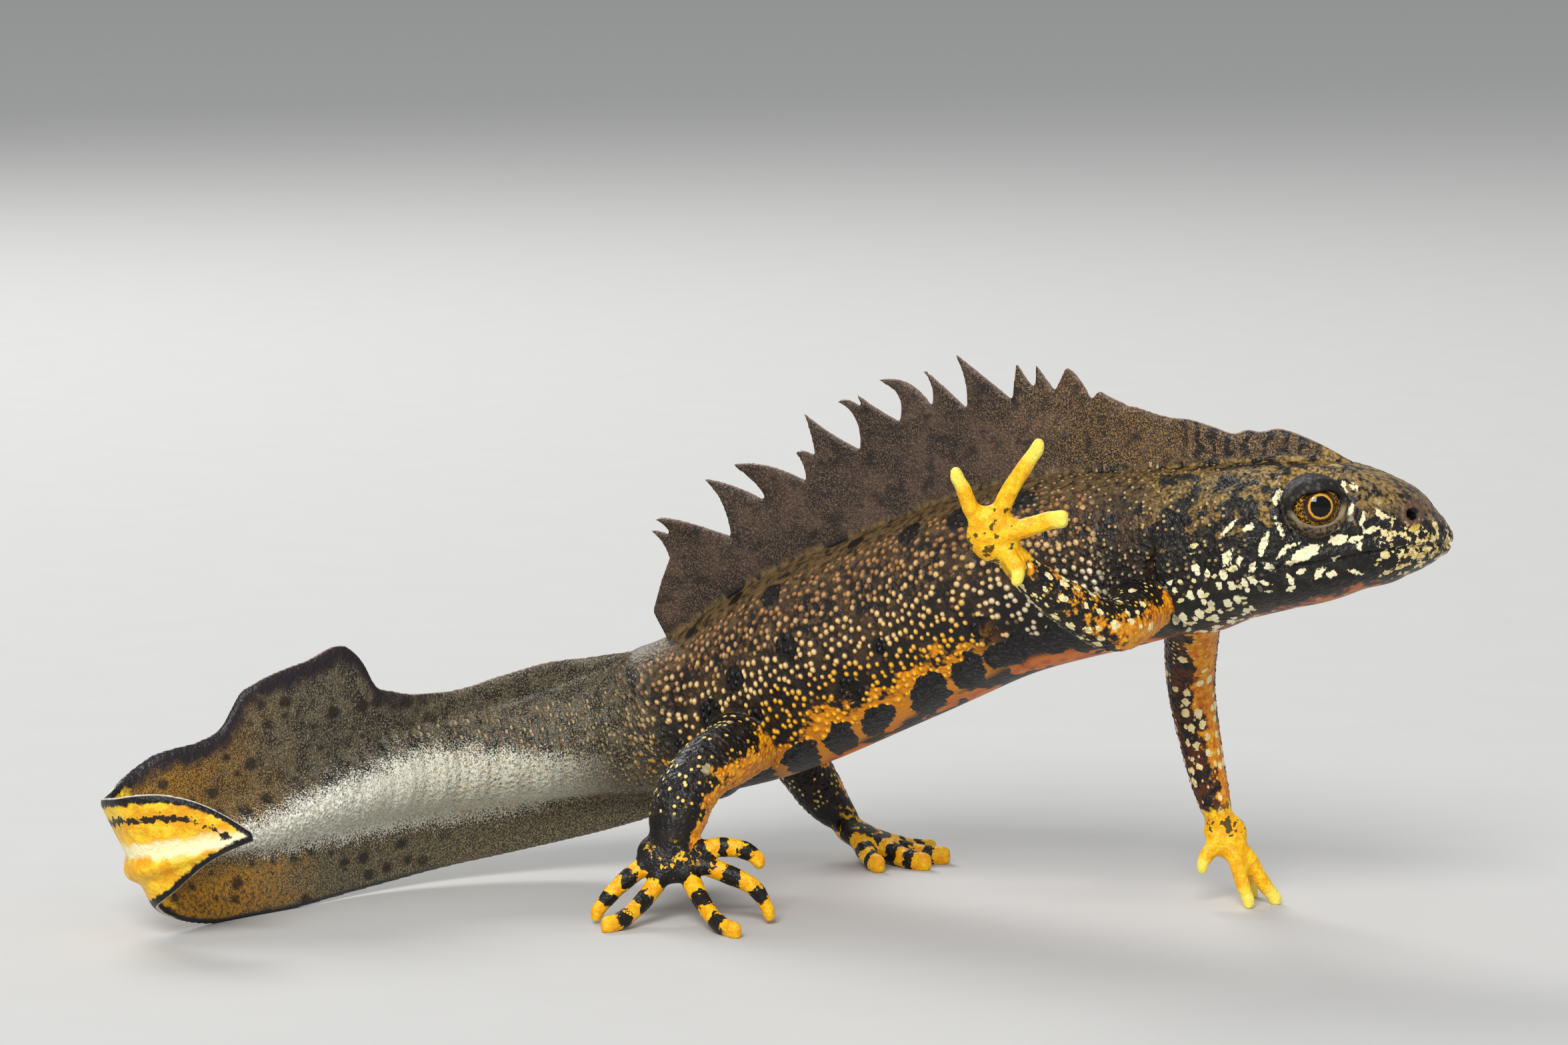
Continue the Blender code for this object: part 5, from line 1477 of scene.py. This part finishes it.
past_wrist = total((limb_at, 1.0), (1.0, -19.4), (where((which_at, 1.4, 1.6)), -1.2), (is_hind, 5.0),
                   (where((which_at, 3.4, 3.6)), -4.0), (grain(CLUMP), 3.0))
leg = lay(leg, lay(hand, foot, is_hind), (past_wrist, -0.4, 0.4))
skin_colour = lay(skin_colour, leg, (total((field["on_limb"], 1.0), (grain(CLUMP), 0.8)), 0.35, 0.6))
print("hands and feet painted:", len(paint_tree.nodes), "nodes so far")

# %% [markdown]
# ## Moist sheen
#
# A newt's skin is wet but full of tiny bumps, so it has a satin sheen, brightest on each
# wart. A roughness near 0.4 and the refraction of wet skin, 1.4, are close to that. The
# bumps too small for the mesh, a tenth of a millimetre high, are shaded from the grains.

# %% Sheen and fine relief
fine_skin = total((grain(SPECK), 0.09), (grain(CLUMP), 0.08), (where(coarse_dome, has_coarse), 0.10),
                  (where(fine_dome, has_fine), 0.07))
tiny_bumps = add(paint_tree, "ShaderNodeBump", {"Height": fine_skin, "Distance": MM, "Strength": 1.0})
shader = add(paint_tree, "ShaderNodeBsdfPrincipled",
             {"Base Color": skin_colour, "Normal": tiny_bumps, "IOR": 1.4,
              "Roughness": total((grain(CLUMP, 1), 0.3), (1.0, 0.41), (where((ring_at, 2.7, 2.5)), 0.22))})
add(paint_tree, "ShaderNodeOutputMaterial", {"Surface": shader})
skin_mesh.materials.clear()
skin_mesh.materials.append(skin_material)
print("newt skin:", len(paint_tree.nodes), "nodes with", len(grains), "grains")

# %% [markdown]
# ## The eyes
#
# A newt's eye is a wet ball with a round black pupil, a thin bright gold ring round it, a
# dark red-brown zone, and gold flecks toward the rim; near-black at its very edge is painted
# shadow of the lids. The iris lies just behind the clear cornea, so one smooth opaque ball
# with the cornea's refraction, 1.376, and a low roughness looks the same from outside. The
# iris is drawn by the distance from the pupil's axis in mm, so it needs no picture.

# %% The iris
IRIS_FLECK = 1 / 6      # mm
eye_material, eye_tree = blank_material("wet_newt_eye")
iris_at = add(eye_tree, "ShaderNodeAttribute", attribute_name="iris").outputs["Vector"]
across_at = add(eye_tree, "ShaderNodeVectorMath", {0: iris_at, 1: (1, 1, 0)}, operation="MULTIPLY")
from_axis = add(eye_tree, "ShaderNodeVectorMath", {0: across_at}, operation="LENGTH")
flecks = add(eye_tree, "ShaderNodeTexNoise",
             {"Vector": iris_at, "Scale": 1 / IRIS_FLECK, "Detail": 4.0, "Roughness": 0.7})
wavy = add(eye_tree, "ShaderNodeMath", {0: flecks, 1: 0.16, 2: from_axis}, operation="MULTIPLY_ADD")
gold_rim = add(eye_tree, "ShaderNodeMapRange", {0: from_axis, 1: 1.14, 2: 1.34})
gold_fleck = add(eye_tree, "ShaderNodeMapRange", {0: flecks, 1: 0.50, 2: 0.56})
gold = add(eye_tree, "ShaderNodeMath", {0: gold_rim, 1: gold_fleck}, operation="MULTIPLY")
# from the pupil outward: ring, red-brown zone, dark zone, flecks, and painted shadow of the lids at the
# edge; each from and to in mm
RINGS = (("d69c2c", wavy, 0.85, 0.88), ("3c1a0c", wavy, 0.99, 1.05), ("1a0b06", wavy, 1.15, 1.28),
         ("c8932f", gold, 0.0, 1.0), ("0d0907", from_axis, 1.72, 1.82))
iris = linear("020202")
for code, measure, start, end in RINGS:
    ring = add(eye_tree, "ShaderNodeMapRange", {0: measure, 1: start, 2: end})
    iris = add(eye_tree, "ShaderNodeMix", {"Factor": ring, "A": iris, "B": linear(code)},
               data_type="RGBA")
wet = add(eye_tree, "ShaderNodeBsdfPrincipled", {"Base Color": iris, "Roughness": 0.06, "IOR": 1.376})
add(eye_tree, "ShaderNodeOutputMaterial", {"Surface": wet})
print("eye:", len(eye_tree.nodes), "nodes")

# %% Eyeballs
for side, name in ((1, "right"), (-1, "left")):
    outward, upward, forward = eye_axes(side)
    mesh = ball_mesh("eyeball_" + name, 1.0, 64, 48)
    round_points = corners_of(mesh)
    cornea = 1 + 0.05 * ease(round_points[:, 2], 0.6, 1.0)      # bulges over the iris
    local = round_points * cornea[:, None] * EYE_RADIUS
    placed = eye_centres[side] + local @ np.stack([forward, upward, outward])
    move_corners(mesh, placed * MM)
    note = mesh.attributes.new("iris", "FLOAT_VECTOR", "POINT")
    note.data.foreach_set("vector", local.ravel().astype(np.float32))
    mesh.shade_smooth()
    mesh.materials.append(eye_material)
    eyeball = in_scene("eyeball_" + name, mesh)
    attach(eyeball, "root")
    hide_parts("eye_" + name)
print("eyeballs:", 2 * EYE_RADIUS, "mm wide")

# %% [markdown]
# ## Floor, light and camera
#
# The newt stands on a sheet of pale matte paper, as for a museum's catalogue. One large
# soft lamp stands in front, a little to the left and above, and a smaller one behind
# draws the edge of the crest. The rest is an even pale room. The lamps are far away for
# the model's size, so that the paper is lit almost evenly.

# %% Floor
FLOOR_HALF = 4.0      # m
FIBRE_CLOUDS = 900.0  # across the sheet: paler and darker clouds of fibre, 9 mm each
corners = [(-FLOOR_HALF, -FLOOR_HALF, 0), (FLOOR_HALF, -FLOOR_HALF, 0),
           (FLOOR_HALF, FLOOR_HALF, 0), (-FLOOR_HALF, FLOOR_HALF, 0)]
floor = make_object("floor", corners, [(0, 1, 2, 3)])
paper, paper_tree = blank_material("matte_backdrop_paper")
fibres = add(paper_tree, "ShaderNodeTexNoise", {"Scale": FIBRE_CLOUDS, "Detail": 2.0})
paper_tone = add(paper_tree, "ShaderNodeMix",
                 {"Factor": fibres, "A": linear("c2c1be"), "B": linear("c6c5c2")}, data_type="RGBA")
matte = add(paper_tree, "ShaderNodeBsdfPrincipled",
            {"Base Color": paper_tone, "Roughness": 0.9, "IOR": 1.5})
add(paper_tree, "ShaderNodeOutputMaterial", {"Surface": matte})
floor.data.materials.append(paper)
print("floor:", 2 * FLOOR_HALF, "m of paper")

# %% Lamps and room
for name, spot, size, power in (("key", (-0.25, -1.25, 1.0), 0.65, 22.0),
                                ("rim", (-0.3, 0.6, 0.6), 0.4, 4.0)):
    lamp = in_scene(name, bpy.data.lights.new(name, "AREA"))
    lamp.data.size, lamp.data.energy = size, power
    lamp.location = spot
    lamp.rotation_euler = (Vector((0, 0, 0.02)) - Vector(spot)).to_track_quat("-Z", "Y").to_euler()
    print(name, "lamp:", size, "m wide,", power, "W")
world = bpy.data.worlds.new("pale_room")
world.use_nodes = True
world.node_tree.nodes["Background"].inputs["Color"].default_value = (0.80, 0.82, 0.85, 1.0)
world.node_tree.nodes["Background"].inputs["Strength"].default_value = 0.56
bpy.context.scene.world = world
bpy.context.scene.view_settings.view_transform = "Standard"

# %% [markdown]
# ## Where the camera stands
#
# The newt is seen from its right side, from a little above its own height: the camera is
# raised seven degrees. A long lens from 43 cm away keeps the far legs nearly as large as
# the near ones, as in close-up pictures of small animals. The distance is the one at
# which the width of the view, 118 mm at the newt, fits the lens.

# %% Camera
RAISED, AWAY = math.radians(7.0), 428.0       # above the horizon; mm from the newt
AIM_HIGH, VIEW_WIDE = 30.78, 117.647          # mm above the floor; mm across the view
SENSOR = 36.0                                 # mm
camera = in_scene("camera", bpy.data.cameras.new("camera"))
bpy.context.scene.camera = camera
from_newt = Vector((0, -AWAY * math.cos(RAISED), AIM_HIGH + AWAY * math.sin(RAISED)))
camera.location = (Vector(SHIFT) + from_newt) * MM
camera.rotation_euler = (math.radians(90) - RAISED, 0, 0)
camera.data.sensor_width = SENSOR
camera.data.lens = SENSOR * AWAY / VIEW_WIDE
camera.data.clip_start = 0.01
print("lens:", round(camera.data.lens), "mm, camera", round(camera.location.z / MM), "mm above the floor")
